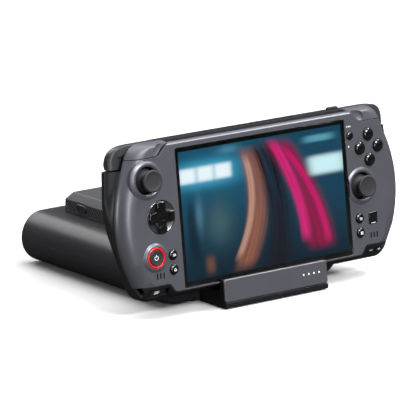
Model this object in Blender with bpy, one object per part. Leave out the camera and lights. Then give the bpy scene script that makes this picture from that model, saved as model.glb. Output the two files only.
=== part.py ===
"""Handheld game console standing in its charging dock, with a removable battery pack on the dock.

Lengths below are in millimetres and mesh_object() turns them into metres.  World axes: X to the right of the
player, Y away from the player, Z up, Z = 0 on the table.  Console pieces are drawn in the console's own axes
(x right, y into the console from its face plane, z up along the face) and hang on an empty that leans back.
"""
import math

import bmesh
import bpy
from mathutils import Matrix, Vector

MM = 0.001
GAP = 0.3                        # clearance between separate pieces

# --- how the console stands ---
LEAN = math.radians(7.3)         # backward lean of the console in the cradle
DISPLAY_Y, DISPLAY_Z = -85.3, 70.66   # where the centre of the display face sits in the world

# --- console body ---
SEAM_Y = 10.0                    # joint between the front and the rear shell
CONSOLE_DEPTH = 24.5
WALL = 2.0
TOP_Z, BOTTOM_Z = 57.0, -57.3    # top and bottom of the console at the seam
FACE_TOP, FACE_BOTTOM, GRIP_BOTTOM = 53.5, -52.2, -45.3
WRAP_HALF, WRAP_TOP = 83.4, 55.6              # the rear shell wraps forward over the top edge down to here
WRAP_GRIP, WRAP_MIDDLE = -45.9, -52.9         # and under the grips and the middle up to here

# --- display ---
GLASS_W, GLASS_H, GLASS_Z, GLASS_T = 156.8, 101.6, -0.4, 1.2
LCD_W, LCD_H, LCD_T = 152.4, 96.4, 2.7
POCKET_DEPTH = 1.5

# --- controls ---
LEFT_STICK, RIGHT_STICK = (-105.1, 30.9), (90.6, -1.0)
STICK_PIVOT, STICK_BORE = 6.5, 10.2
DPAD, DPAD_R, DISH_R, DPAD_ARM, DPAD_REACH = (-94.9, 3.0), 12.4, 11.85, 8.0, 11.5
FACE_CENTRE, FACE_DX, FACE_DZ, FACE_R = (100.2, 26.8), 8.6, 9.5, 4.9
POWER = (-102.7, -25.4)
POWER_R, RING_IN, RING_OUT = 5.7, 6.15, 7.75
SMALL_R, AUX_R = 3.8, 3.1
SENSOR = (99.4, -26.3)
SPEAKER_X, SPEAKER_Z, SLOT_PITCH = 99.4, -39.2, 2.9

# --- bumpers and triggers ---
BUMPER_LINE, BUMPER_INNER, BUMPER_BEND = 46.8, 83.5, 95.0
TRIGGER_IN, TRIGGER_OUT, TRIGGER_FLOOR, TRIGGER_TOP = 87.0, 127.0, 39.8, 57.0
TRIGGER_PIVOT_Y, TRIGGER_PIVOT_Z = 13.5, 54.0

# --- dock ---
DOCK_R, DOCK_ARC_X, DOCK_FLOOR = 19.48, 69.6, 0.8
DOCK_BACK = 100.3
DOCK_WALL = 2.4
CRADLE_HALF = 47.5
LIP_FRONT, PLATE_BACK, LIP_BACK, LIP_TOP = -6.0, -4.4, -0.6, -49.7
PLUG_Y = 13.1

# --- battery pack on the dock ---
PACK_HALF, PACK_FRONT, PACK_BACK = 59.7, -45.0, 83.4
PACK_WALL_H, PACK_H, PACK_CHAMFER, PACK_CORNER = 9.4, 15.0, 4.4, 1.6
RELEASE_Y, RELEASE_Z, RELEASE_W, RELEASE_H = 61.1, 45.6, 13.3, 6.2
RELEASE_CORNER, RELEASE_PROUD = 3.0, 1.2
RIB_PITCH, RIB_RUN, RIB_WIDTH, RIB_DEPTH = 3.7, 8.0, 1.3, 0.9

DOCK_TOP = DOCK_FLOOR + 2 * DOCK_R
PACK_Z = DOCK_TOP + GAP

for old in list(bpy.data.objects):
    bpy.data.objects.remove(old, do_unlink=True)


# ---------------------------------------------------------------- materials
def material(name, colour, roughness, metallic=0.0):
    made = bpy.data.materials.new(name)
    made.use_nodes = True
    shader = made.node_tree.nodes["Principled BSDF"]
    shader.inputs["Base Color"].default_value = (*colour, 1.0)
    shader.inputs["Roughness"].default_value = roughness
    shader.inputs["Metallic"].default_value = metallic
    made.diffuse_color = (*colour, 1.0)
    return made


GUNMETAL = ((0.135, 0.140, 0.165), 0.42, 0.35)
BLACK_SATIN = ((0.018, 0.019, 0.022), 0.45, 0.0)
BLACK_GLOSS = ((0.008, 0.008, 0.009), 0.10, 0.0)
CHARCOAL = ((0.050, 0.052, 0.060), 0.42, 0.0)
BOARD_GREEN = ((0.020, 0.090, 0.050), 0.50, 0.0)
STEEL = ((0.550, 0.560, 0.580), 0.30, 1.0)
COPPER = ((0.720, 0.380, 0.220), 0.30, 1.0)
RUBBER = ((0.015, 0.015, 0.016), 0.85, 0.0)
RED = ((0.780, 0.020, 0.025), 0.30, 0.0)
LIGHT = ((0.900, 0.950, 1.000), 0.30, 0.0)


# ---------------------------------------------------------------- meshes
def joined(shapes):
    """Several (points, faces) shapes as one."""
    points, faces = [], []
    for more_points, more_faces in shapes:
        start = len(points)
        points += more_points
        faces += [[start + i for i in face] for face in more_faces]
    return points, faces


def loft(rings):
    """A closed skin over rings that hold the same number of points, with a flat face at each end."""
    count = len(rings[0])
    points = [p for ring in rings for p in ring]
    faces = [list(range(count)), [(len(rings) - 1) * count + i for i in range(count)]]
    for k in range(len(rings) - 1):
        for i in range(count):
            j = (i + 1) % count
            faces.append([k * count + i, k * count + j, (k + 1) * count + j, (k + 1) * count + i])
    return points, faces


def block(x0, x1, y0, y1, z0, z1):
    return loft([[(x0, y, z0), (x1, y, z0), (x1, y, z1), (x0, y, z1)] for y in (y0, y1)])


def prism(outline, y0, y1):
    """An (x, z) outline extruded along y."""
    return loft([[(x, y, z) for x, z in outline] for y in (y0, y1)])


def along_x(outline, x0, x1):
    """A (y, z) outline extruded along x."""
    return loft([[(x, y, z) for y, z in outline] for x in (x0, x1)])


def along_z(outline, z0, z1):
    """An (x, y) outline extruded along z."""
    return loft([[(x, y, z) for x, y in outline] for z in (z0, z1)])


def turned(profile, centre, segments=32):
    """A (y, radius) profile turned about the y axis through centre (x, z)."""
    turn = [2 * math.pi * i / segments for i in range(segments)]
    return loft([[(centre[0] + r * math.cos(a), y, centre[1] + r * math.sin(a)) for a in turn] for y, r in profile])


def ball(centre, radii, segments=24, rows=10):
    """An ellipsoid whose poles lie on the z axis."""
    rings = []
    for k in range(1, rows):
        tilt = math.pi * k / rows
        rings.append([(centre[0] + radii[0] * math.sin(tilt) * math.cos(2 * math.pi * i / segments),
                       centre[1] + radii[1] * math.sin(tilt) * math.sin(2 * math.pi * i / segments),
                       centre[2] + radii[2] * math.cos(tilt)) for i in range(segments)])
    return loft(rings)


def mesh_object(name, shape, parent, origin=(0.0, 0.0, 0.0), smooth=False):
    """A mesh object from a shape in millimetres in the parent's axes, with its origin moved to origin."""
    mesh = bpy.data.meshes.new(name)
    bm = bmesh.new()
    points = [bm.verts.new((Vector(p) - Vector(origin)) * MM) for p in shape[0]]
    for face in shape[1]:
        bm.faces.new([points[i] for i in face])
    bmesh.ops.recalc_face_normals(bm, faces=bm.faces)
    bm.to_mesh(mesh)
    bm.free()
    if smooth:
        mesh.shade_smooth()
        mesh.set_sharp_from_angle(angle=math.radians(35))
    made = bpy.data.objects.new(name, mesh)
    made.location = Vector(origin) * MM
    made.parent = parent
    bpy.context.scene.collection.objects.link(made)
    return made


def piece(name, shape, finish, parent, origin=(0.0, 0.0, 0.0), smooth=False):
    made = mesh_object(name, shape, parent, origin, smooth)
    made.data.materials.append(material(name + "_finish", *finish))
    return made


def helper(name, shape, parent):
    made = mesh_object(name, shape, parent)
    made.hide_render = True
    made.display_type = "WIRE"
    return made


def boolean(target, other, operation):
    modifier = target.modifiers.new(other.name, "BOOLEAN")
    modifier.operation = operation
    modifier.solver = "EXACT"
    modifier.object = other


def cut(target, shape, label="cut"):
    boolean(target, helper(f"{target.name}_{label}", shape, target.parent), "DIFFERENCE")


def join(target, shape, label="join"):
    boolean(target, helper(f"{target.name}_{label}", shape, target.parent), "UNION")


# ---------------------------------------------------------------- outlines
def rounded(corners):
    """A closed outline from (x, z, radius, steps) corners, each turned into an arc of steps + 1 points."""
    outline = []
    for i, (x, z, radius, steps) in enumerate(corners):
        corner = Vector((x, z))
        back = (Vector(corners[i - 1][:2]) - corner).normalized()
        ahead = (Vector(corners[(i + 1) % len(corners)][:2]) - corner).normalized()
        half = 0.5 * back.angle(ahead)
        reach = radius / math.tan(half) if half < math.pi / 2 - 1e-4 else radius
        middle = (back + ahead)
        if middle.length < 1e-3:     # the outline runs straight on here
            outline += [tuple(corner + back * radius * (1 - 2 * k / steps)) for k in range(steps + 1)]
            continue
        middle = corner + middle.normalized() * radius / math.sin(half)
        start, end = corner + back * reach - middle, corner + ahead * reach - middle
        sweep = start.angle_signed(end)
        for k in range(steps + 1):
            a = -sweep * k / steps
            outline.append((middle.x + start.x * math.cos(a) - start.y * math.sin(a),
                            middle.y + start.x * math.sin(a) + start.y * math.cos(a)))
    return outline


def rectangle(x0, x1, z0, z1, radius, steps=4):
    return rounded([(x0, z0, radius, steps), (x1, z0, radius, steps), (x1, z1, radius, steps), (x0, z1, radius, steps)])


def mirrored(corners):
    """A right-hand run of corners, listed from top to bottom, with its left-hand mirror image."""
    return corners + [(-x, z, radius, steps) for x, z, radius, steps in reversed(corners)]


def inset(outline, distance):
    """The outline moved inwards along its normals. It runs clockwise, seen with x right and z up."""
    moved = []
    for i, point in enumerate(outline):
        here, before, after = Vector(point), Vector(outline[i - 1]), Vector(outline[(i + 1) % len(outline)])
        along = ((here - before).normalized() + (after - here).normalized()).normalized()
        moved.append((here.x + along.y * distance, here.y - along.x * distance))
    return moved


# Five corners a side: shoulder, flank, heel of the grip, and the two bends where the grip meets the middle.
STEPS = (8, 10, 6, 3, 3)
FACE_OUTLINE = rounded(mirrored([
    (104.0, FACE_TOP, 10.0, STEPS[0]), (119.2, -2.0, 80.0, STEPS[1]), (107.0, GRIP_BOTTOM, 7.0, STEPS[2]),
    (91.2, GRIP_BOTTOM, 3.2, STEPS[3]), (86.6, FACE_BOTTOM, 3.2, STEPS[4])]))
SEAM_OUTLINE = rounded(mirrored([
    (113.5, TOP_Z, 15.0, STEPS[0]), (136.2, -3.0, 90.0, STEPS[1]), (114.0, BOTTOM_Z, 13.0, STEPS[2]),
    (94.0, BOTTOM_Z, 2.0, STEPS[3]), (86.0, BOTTOM_Z, 2.0, STEPS[4])]))
REAR_OUTLINE = rounded(mirrored([
    (128.0, TOP_Z, 10.0, STEPS[0]), (132.2, 5.0, 80.0, STEPS[1]), (114.0, BOTTOM_Z, 13.0, STEPS[2]),
    (94.0, BOTTOM_Z, 2.0, STEPS[3]), (86.0, BOTTOM_Z, 2.0, STEPS[4])]))
# How round the edge between face and seam is at each corner: 1 is a quarter ellipse, 0 is a flat bevel.
ROUNDNESS = [w for w, n in zip((0.85, 1.0, 0.45, 0.2, 0.35), STEPS) for _ in range(n + 1)]
ROUNDNESS += ROUNDNESS[::-1]


def front_ring(t, depth=SEAM_Y, shrink=0.0):
    """The front form's outline at step t, from 0 on the face to 1 at the seam."""
    ring = []
    for (x0, z0), (x1, z1), w in zip(inset(FACE_OUTLINE, shrink), inset(SEAM_OUTLINE, shrink), ROUNDNESS):
        out = (1 - w) * t + w * math.sin(t * math.pi / 2)
        back = (1 - w) * t + w * (1 - math.cos(t * math.pi / 2))
        ring.append((x0 + (x1 - x0) * out, depth * back, z0 + (z1 - z0) * out))
    return ring


def rear_ring(y, blend, shrink):
    ring = inset([(x0 + (x1 - x0) * blend, z0 + (z1 - z0) * blend)
                  for (x0, z0), (x1, z1) in zip(SEAM_OUTLINE, REAR_OUTLINE)], shrink)
    return [(x, y, z) for x, z in ring]


lean = bpy.data.objects.new("console_lean", None)
lean.location = Vector((0.0, DISPLAY_Y, DISPLAY_Z)) * MM
lean.rotation_euler = (-LEAN, 0.0, 0.0)
bpy.context.scene.collection.objects.link(lean)


def bumper_region(side, grow):
    """The top corner outside the line that parts bumper from shell; grow widens it."""
    outline = []
    for k in range(13):
        t = k / 12
        x = BUMPER_INNER + (BUMPER_BEND - BUMPER_INNER) * t
        outline.append((x - grow, FACE_TOP + 1.5 - (FACE_TOP + 1.5 - BUMPER_LINE) * (3 * t * t - 2 * t ** 3) - grow))
    outline += [(150.0, BUMPER_LINE - 0.6 - grow), (150.0, 80.0), (BUMPER_INNER - grow, 80.0)]
    return [(side * x, z) for x, z in outline]


def wrap_shapes(gap):
    """What the rear shell takes of the front form, at the top and along the bottom, less a gap."""
    half, low = WRAP_HALF - gap, WRAP_TOP + gap
    bottom = rounded(mirrored([(150.0, WRAP_GRIP - gap, 1.0, 1), (91.4, WRAP_GRIP - gap, 3.2, 4),
                               (86.8, WRAP_MIDDLE - gap, 3.2, 4)]) + [(-150.0, -80.0, 1.0, 1), (150.0, -80.0, 1.0, 1)])
    return [block(-half, half, -6.0, 13.0, low, 80.0), prism(bottom, -6.0, 13.0)]


# ---------------------------------------------------------------- front shell
FACE_BUTTONS = {
    "face_button_top": (FACE_CENTRE[0], FACE_CENTRE[1] + FACE_DZ),
    "face_button_right": (FACE_CENTRE[0] + FACE_DX, FACE_CENTRE[1]),
    "face_button_bottom": (FACE_CENTRE[0], FACE_CENTRE[1] - FACE_DZ),
    "face_button_left": (FACE_CENTRE[0] - FACE_DX, FACE_CENTRE[1]),
}
SMALL_BUTTONS = {
    "view_button": (-87.2, -25.5), "home_button": (-87.2, -36.2),
    "options_button": (86.7, -25.2), "library_button": (86.7, -36.0),
}
AUX_BUTTON = (82.9, 37.3)

# Keys and the strap eyelet sit in the sloping heel under each grip.
HEEL_SLOPE = math.radians(50)    # from the upright to the line straight into the heel
HEEL_Y, HEEL_Z, KEY_HALF = 4.6, -51.0, 2.7


def heel_key(x0, x1, low, high, grow):
    """A key across the heel: x range, and how far its ends lie into and out of the slope."""
    half = KEY_HALF + grow
    into = Vector((math.sin(HEEL_SLOPE), math.cos(HEEL_SLOPE)))   # (y, z) straight into the heel
    up = Vector((-into.y, into.x))
    corners = [Vector((HEEL_Y, HEEL_Z)) + up * u + into * v
               for u, v in ((-half, low), (half, low), (half, high), (-half, high))]
    return along_x([tuple(c) for c in corners], x0 - grow, x1 + grow)

MENU_X, DOWN_X, UP_X = (-107.0, -95.6), (95.4, 101.9), (103.2, 109.7)
STEPS_OUT = 5
outer = [front_ring(k / STEPS_OUT) for k in range(STEPS_OUT + 1)]
inner = [[(x, max(y, WALL + 0.4), z) for x, y, z in front_ring(t, shrink=WALL)] for t in (1.0, 0.75, 0.5, 0.25)]
inner[0] = [(x, SEAM_Y, z) for x, _, z in inner[0]]
front_shell = piece("front_shell", loft(outer + inner), GUNMETAL, lean)
cut(front_shell, joined([prism(bumper_region(side, GAP / 2), -6.0, 14.0) for side in (-1, 1)]), "bumper_gaps")
cut(front_shell, joined(wrap_shapes(0.0)), "wraps")
cut(front_shell, block(-WRAP_HALF, WRAP_HALF, WALL + 0.8, 14.0, 51.0, WRAP_TOP + 1.0), "top_wall")

join(front_shell, joined([turned([(3.0, STICK_BORE + 3.9), (0.2, STICK_BORE + 3.9), (-0.7, STICK_BORE + 2.9),
                                  (-1.2, STICK_BORE + 1.6), (-1.2, STICK_BORE - 1.0), (3.0, STICK_BORE - 1.0)], at, 32)
                          for at in (LEFT_STICK, RIGHT_STICK)]
                         + [turned([(1.5, 10.4), (-0.2, 10.0), (-1.0, 9.2), (-1.3, 8.4), (-1.3, 5.0), (1.5, 5.0)],
                                   POWER, 32)]), "collars")
cut(front_shell, prism(rectangle(-GLASS_W / 2 - GAP, GLASS_W / 2 + GAP, GLASS_Z - GLASS_H / 2 - GAP,
                                 GLASS_Z + GLASS_H / 2 + GAP, 1.6, 3), -2.0, POCKET_DEPTH), "glass_pocket")
cut(front_shell, block(-LCD_W / 2 - GAP, LCD_W / 2 + GAP, 1.0, 6.0, -LCD_H / 2 - GAP, LCD_H / 2 + GAP), "window")

holes = [turned([(-3.0, STICK_BORE), (8.0, STICK_BORE)], at, 32) for at in (LEFT_STICK, RIGHT_STICK)]
holes.append(turned([(-3.0, DPAD_R), (8.0, DPAD_R)], DPAD, 32))
holes += [turned([(-4.0, FACE_R + GAP), (8.0, FACE_R + GAP)], at, 24) for at in FACE_BUTTONS.values()]
holes += [turned([(-4.0, SMALL_R + GAP), (8.0, SMALL_R + GAP)], at, 20) for at in SMALL_BUTTONS.values()]
holes.append(turned([(-4.0, AUX_R + GAP), (8.0, AUX_R + GAP)], AUX_BUTTON, 16))
holes.append(turned([(-4.0, RING_OUT + GAP), (1.1, RING_OUT + GAP), (1.1, POWER_R + GAP), (8.0, POWER_R + GAP)],
                    POWER, 32))
holes.append(prism(rectangle(SENSOR[0] - 4.3, SENSOR[0] + 4.3, SENSOR[1] - 4.8, SENSOR[1] + 4.8, 1.2, 3), -3.0, 8.0))
for side in (-1, 1):
    for k in (-1, 0, 1):
        x = side * SPEAKER_X + k * SLOT_PITCH
        holes.append(prism(rectangle(x - 0.6, x + 0.6, SPEAKER_Z - 2.25, SPEAKER_Z + 2.25, 0.5, 2), -3.0, 8.0))
cut(front_shell, joined(holes), "holes")

# ---------------------------------------------------------------- rear shell
rear = [rear_ring(SEAM_Y + GAP, 0.0, 0.0), rear_ring(13.5, 0.45, 0.0), rear_ring(17.5, 1.0, 0.0),
        rear_ring(21.5, 1.0, 0.5), rear_ring(23.4, 1.0, 2.0), rear_ring(CONSOLE_DEPTH, 1.0, 5.0)]
hollow = [rear_ring(CONSOLE_DEPTH - WALL, 1.0, 5.0), rear_ring(20.5, 1.0, WALL + 0.5),
          rear_ring(17.0, 1.0, WALL), rear_ring(13.5, 0.45, WALL), rear_ring(SEAM_Y + GAP, 0.0, WALL)]
rear_shell = piece("rear_shell", loft(rear[::-1] + hollow[::-1]), BLACK_SATIN, lean)
LAP = 0.05                       # keeps the wrap's skin just inside the shell's where the two run on together
lap_outer, lap_inner = ([(x, SEAM_Y + 1.5, z) for x, z in inset(SEAM_OUTLINE, d)] for d in (LAP, WALL - LAP))
wraps = helper("wraps", joined(wrap_shapes(GAP)), lean)
join(wraps, block(-WRAP_HALF + GAP, WRAP_HALF - GAP, WALL + 1.1, 13.0, 51.3, WRAP_TOP + 1.0), "top_wall")
boolean(wraps, helper("wrap_form", loft(outer + [lap_outer, lap_inner] + inner), lean), "INTERSECT")
boolean(rear_shell, wraps, "UNION")
cut(rear_shell, joined([block(*sorted((side * 86.4, side * 150.0)), 5.0, 30.0, 39.0, 80.0) for side in (-1, 1)]),
    "trigger_openings")
cut(rear_shell, joined([heel_key(*x, -3.0, 5.0, GAP) for x in (MENU_X, DOWN_X, UP_X)]), "heel_keys")
cut(rear_shell, along_z(rectangle(-119.0, -111.5, 4.4, 8.2, 1.2, 3), -70.0, -38.0), "eyelet")
VENT_HALF, VENT_Y0, VENT_Y1 = 42.0, 12.4, 19.4
cut(rear_shell, block(-VENT_HALF - GAP, VENT_HALF + GAP, VENT_Y0 - GAP, VENT_Y1 + GAP, 50.0, 62.0), "vent_opening")
SOCKET_HALF_X, SOCKET_HALF_Y = 4.9, 1.95
cut(rear_shell, block(-SOCKET_HALF_X, SOCKET_HALF_X, PLUG_Y - SOCKET_HALF_Y, PLUG_Y + SOCKET_HALF_Y, -64.0, -52.0),
    "socket_opening")
FAN = (-28.0, 22.0)
intake = []
for k in range(-4, 5):
    reach = math.sqrt(17.0 ** 2 - (3.7 * k) ** 2)
    intake.append(prism(rectangle(FAN[0] + 3.7 * k - 0.9, FAN[0] + 3.7 * k + 0.9, FAN[1] - reach, FAN[1] + reach,
                                  0.85, 2), 20.0, 28.0))
cut(rear_shell, joined(intake), "intake")

# ---------------------------------------------------------------- display
display_glass = piece("display_glass", prism(rectangle(-GLASS_W / 2, GLASS_W / 2, GLASS_Z - GLASS_H / 2,
                                                       GLASS_Z + GLASS_H / 2, 1.4, 3), 0.0, GLASS_T),
                      BLACK_GLOSS, lean)
lcd_panel = piece("lcd_panel", block(-LCD_W / 2, LCD_W / 2, POCKET_DEPTH, POCKET_DEPTH + LCD_T, -LCD_H / 2, LCD_H / 2),
                  ((0.02, 0.10, 0.14), 0.3, 0.0), lean)

# ---------------------------------------------------------------- inside the console
mainboard = piece("mainboard", block(-78.0, 78.0, 5.2, 6.4, -4.0, 50.0), BOARD_GREEN, lean)
join(mainboard, joined([block(12.0, 34.0, 6.2, 8.0, 12.0, 32.0), block(44.0, 58.0, 6.2, 7.6, 10.0, 30.0),
                        block(-70.0, -58.0, 6.2, 8.4, -2.0, 10.0)]), "chips")
console_battery = piece("console_battery", prism(rectangle(-60.0, 60.0, -46.0, -8.0, 2.0, 3), 8.6, 16.6),
                        ((0.30, 0.31, 0.33), 0.4, 0.0), lean)
fan_housing = piece("fan_housing", prism(rectangle(FAN[0] - 22, FAN[0] + 22, FAN[1] - 22, FAN[1] + 22, 5.0, 4),
                                         9.0, 17.6), BLACK_SATIN, lean)
cut(fan_housing, turned([(10.2, 18.6), (22.0, 18.6)], FAN, 32), "bore")
cut(fan_housing, block(FAN[0] - 14, FAN[0] + 14, 10.8, 16.4, FAN[1] + 12, FAN[1] + 30), "outlet")

FAN_BLADES = 11
blade_outline = []
for k in range(FAN_BLADES):
    a = 2 * math.pi * k / FAN_BLADES
    for turn, r in ((0.0, 8.0), (0.10, 16.8), (0.17, 16.8), (0.12, 8.0)):
        blade_outline.append((FAN[0] + r * math.cos(a + turn), FAN[1] + r * math.sin(a + turn)))
fan_rotor = piece("fan_rotor", prism(blade_outline, 10.9, 16.6), BLACK_SATIN, lean, origin=(FAN[0], 13.8, FAN[1]))

fins = [(2.0, 9.4), (52.0, 9.4), (52.0, 17.0)]
for k in range(12, 0, -1):
    x = 2.0 + 4.0 * k
    fins += [(x + 1.2, 17.0), (x + 1.2, 10.6), (x - 1.2, 10.6), (x - 1.2, 17.0)]
fins.append((2.0, 17.0))
heatsink = piece("heatsink", along_z(fins, 44.8, 54.4), COPPER, lean)
join(heatsink, block(8.0, 38.0, 8.4, 9.8, 10.0, 47.0), "cold_plate")

charge_socket = piece("charge_socket", block(-4.7, 4.7, PLUG_Y - 1.8, PLUG_Y + 1.8, -56.4, -48.0), STEEL, lean)
cut(charge_socket, block(-4.4, 4.4, PLUG_Y - 1.5, PLUG_Y + 1.5, -58.0, -49.2), "mouth")

for name, side in (("speaker_left", -1), ("speaker_right", 1)):
    x0, x1 = sorted((side * 93.0, side * 110.0))
    piece(name, block(x0, x1, 3.4, 6.6, -44.6, -34.6), BLACK_SATIN, lean)

piece("left_control_board", prism(rectangle(-117.0, -83.0, -43.6, -16.0, 3.0, 3), 7.2, 8.4), BOARD_GREEN, lean)
piece("right_control_board", prism(rectangle(82.0, 117.0, 12.5, 40.5, 3.0, 3), 7.2, 8.4), BOARD_GREEN, lean)

VENT_TOP = TOP_Z - 0.2
top_vent_grille = piece("top_vent_grille", block(-VENT_HALF, VENT_HALF, VENT_Y0, VENT_Y1, 55.2, VENT_TOP),
                        BLACK_SATIN, lean)
VENT_SLOTS = 14
cut(top_vent_grille, joined([block(-VENT_HALF + 2.2 + 6.0 * k, -VENT_HALF + 5.8 + 6.0 * k, VENT_Y0 + 1.2,
                                   VENT_Y1 - 1.2, 50.0, 62.0) for k in range(VENT_SLOTS)]), "slots")

# ---------------------------------------------------------------- sticks
STICK_PROFILE = [(-7.6, 6.4), (-8.0, 7.0), (-8.0, 7.5), (-7.5, 8.15), (-5.9, 8.25), (-5.5, 7.8), (-5.3, 3.9),
                 (-3.0, 3.7)]
STICK_PROFILE += [(STICK_PIVOT - 9.5 * math.cos(math.radians(a)), 9.5 * math.sin(math.radians(a)))
                  for a in (26, 40, 55, 70, 80, 90)]
STICK_PROFILE += [(STICK_PIVOT + 1.0, 2.0), (STICK_PIVOT + 9.4, 1.7)]
for name, at in (("left_stick", LEFT_STICK), ("right_stick", RIGHT_STICK)):
    pivot = (at[0], STICK_PIVOT, at[1])
    stick = piece(name, turned(STICK_PROFILE, at, 32), CHARCOAL, lean, origin=pivot, smooth=True)
    housing = piece(name + "_housing", block(at[0] - 7.6, at[0] + 7.6, 10.9, 19.6, at[1] - 7.0, at[1] + 7.0),
                    BLACK_SATIN, lean)
    cut(housing, block(at[0] - 6.2, at[0] + 6.2, 9.0, 17.9, at[1] - 5.8, at[1] + 5.8), "well")
    gimbal = piece(name + "_gimbal", block(at[0] - 5.4, at[0] + 5.4, 12.6, 14.4, at[1] - 3.3, at[1] + 3.3),
                   STEEL, lean, origin=pivot)
    cut(gimbal, block(at[0] - 4.6, at[0] + 4.6, 11.0, 16.0, at[1] - 2.2, at[1] + 2.2), "slot")

# ---------------------------------------------------------------- direction pad
DPAD_PIVOT = (DPAD[0], 4.0, DPAD[1])
ARM_END = math.asin(DPAD_ARM / 2 / DPAD_REACH)     # half the angle that an arm's round end spans
ARM_STEPS = 4
cross = []
for arm in range(4):
    for k in range(ARM_STEPS + 1):
        a = math.pi / 2 * arm - ARM_END + 2 * ARM_END * k / ARM_STEPS
        cross.append((DPAD_REACH * math.cos(a), DPAD_REACH * math.sin(a)))
    corner = math.pi / 2 * arm + math.pi / 4
    cross.append((DPAD_ARM / math.sqrt(2) * math.cos(corner), DPAD_ARM / math.sqrt(2) * math.sin(corner)))


def cross_ring(y, shrink):
    return [(DPAD[0] + x, y, DPAD[1] + z) for x, z in inset(cross[::-1], shrink)]


dpad = piece("dpad", turned([(2.1, 1.0), (1.7, 6.0), (0.9, 10.0), (0.2, DISH_R - 0.4), (0.2, DISH_R), (2.8, DISH_R),
                             (2.8, 1.0)], DPAD, 32), BLACK_GLOSS, lean, origin=DPAD_PIVOT)
join(dpad, loft([cross_ring(-1.6, 0.9), cross_ring(-1.3, 0.3), cross_ring(-0.8, 0.0), cross_ring(2.4, 0.0)]), "cross")
piece("dpad_rocker", turned([(3.7, 4.5), (3.7, 8.6), (4.5, 9.0), (5.2, 8.6), (5.2, 4.5)], DPAD, 32),
      BLACK_SATIN, lean, origin=DPAD_PIVOT)

# ---------------------------------------------------------------- buttons
BUTTON_STEM = 3.6


def button(name, at, radius, rise, finish, segments=24):
    """A domed key with its crown above the face."""
    crown = [(-rise + rise * 0.9 * (1 - math.cos(math.radians(a))), radius * math.sin(math.radians(a)))
             for a in (14, 32, 50, 68, 84)]
    piece(name, turned(crown + [(0.0, radius), (BUTTON_STEM, radius)], at, segments), finish, lean,
          origin=(at[0], 0.0, at[1]), smooth=True)


for name, at in FACE_BUTTONS.items():
    button(name, at, FACE_R, 2.4, BLACK_GLOSS)
for name, at in SMALL_BUTTONS.items():
    button(name, at, SMALL_R, 1.7, BLACK_GLOSS, 20)
button("aux_button", AUX_BUTTON, AUX_R, 1.4, BLACK_GLOSS, 16)

piece("power_button", turned([(-1.2, POWER_R - 1.6), (-1.5, POWER_R - 0.6), (-1.2, POWER_R), (BUTTON_STEM, POWER_R)],
                             POWER, 32), ((0.10, 0.10, 0.12), 0.4, 0.2), lean, origin=(POWER[0], 0.0, POWER[1]),
      smooth=True)
power_ring = piece("power_ring", turned([(-1.5, RING_OUT - 0.4), (-1.1, RING_OUT), (0.8, RING_OUT)], POWER, 32),
                   RED, lean, smooth=True)
cut(power_ring, turned([(-4.0, RING_IN), (3.0, RING_IN)], POWER, 32), "bore")
piece("fingerprint_sensor", loft([[(x, y, z) for x, z in rectangle(
    SENSOR[0] - 4.0 + s, SENSOR[0] + 4.0 - s, SENSOR[1] - 4.5 + s, SENSOR[1] + 4.5 - s, 1.2 - s * 0.5, 3)]
    for y, s in ((-0.5, 0.5), (-0.2, 0.0), (2.6, 0.0))]), BLACK_GLOSS, lean)
for name, x, finish in (("menu_button", MENU_X, BLACK_GLOSS), ("volume_down_button", DOWN_X, BLACK_SATIN),
                        ("volume_up_button", UP_X, BLACK_SATIN)):
    piece(name, heel_key(*x, -0.7, 3.6, 0.0), finish, lean, origin=(sum(x) / 2, 4.6, -51.0))

TOP_KEY = (79.4, 14.6)
top_button = piece("top_button", along_z(rectangle(TOP_KEY[0] - 5.0, TOP_KEY[0] + 5.0, TOP_KEY[1] - 1.8,
                                                   TOP_KEY[1] + 1.8, 1.7, 4), 53.6, TOP_Z + 2.0),
                   BLACK_SATIN, lean, origin=(TOP_KEY[0], TOP_KEY[1], TOP_Z))
cut(rear_shell, along_z(rectangle(TOP_KEY[0] - 5.3, TOP_KEY[0] + 5.3, TOP_KEY[1] - 2.1, TOP_KEY[1] + 2.1, 2.0, 4),
                        54.6, 64.0), "top_key_hole")

# ---------------------------------------------------------------- bumpers and triggers
front_form = helper("front_form", loft([front_ring(k / 8, SEAM_Y - GAP) for k in range(9)]), lean)
SCOOP_TILT = math.radians(40)    # the finger scoop at each bumper's inner end leans towards the display
for name, side in (("left_bumper", -1), ("right_bumper", 1)):
    bumper = piece(name, prism(bumper_region(side, -GAP / 2), -6.0, 14.0), GUNMETAL, lean,
                   origin=(side * 85.0, 8.0, 52.0))
    boolean(bumper, front_form, "INTERSECT")
    scoop = ball((0.0, 0.0, 0.0), (5.6, 5.4, 9.5))
    turn = Matrix.Rotation(-side * SCOOP_TILT, 3, "Y")
    cut(bumper, ([tuple(turn @ Vector(p) + Vector((side * 90.5, -2.6, 52.6))) for p in scoop[0]], scoop[1]), "scoop")


def trigger_ring(side, x):
    """The trigger's (y, z) section at x; its crown falls away, and its front draws back, towards the outer end."""
    out = max(0.0, (x - 104.0) / (TRIGGER_OUT + 0.3 - 104.0))
    h = (TRIGGER_TOP - TRIGGER_FLOOR) * (1 - out ** 3.4) ** (1 / 3.4)
    d = 10.6 * (1 - 0.2 * out ** 4)
    front = 12.0 + 4.0 * out ** 4
    section = ((max(14.2, front), 0.0), (max(14.2, front), 0.45), (front, 0.60), (front, 0.88),
               (front + 1.4, 1.0), (12.0 + 0.55 * d, 1.0),
               (12.0 + 0.85 * d, 0.93), (12.0 + 1.05 * d, 0.76), (12.0 + 1.13 * d, 0.52), (12.0 + 1.08 * d, 0.24),
               (12.0 + 0.92 * d, 0.0))
    return [(side * x, y, TRIGGER_FLOOR + h * k) for y, k in section]


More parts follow.
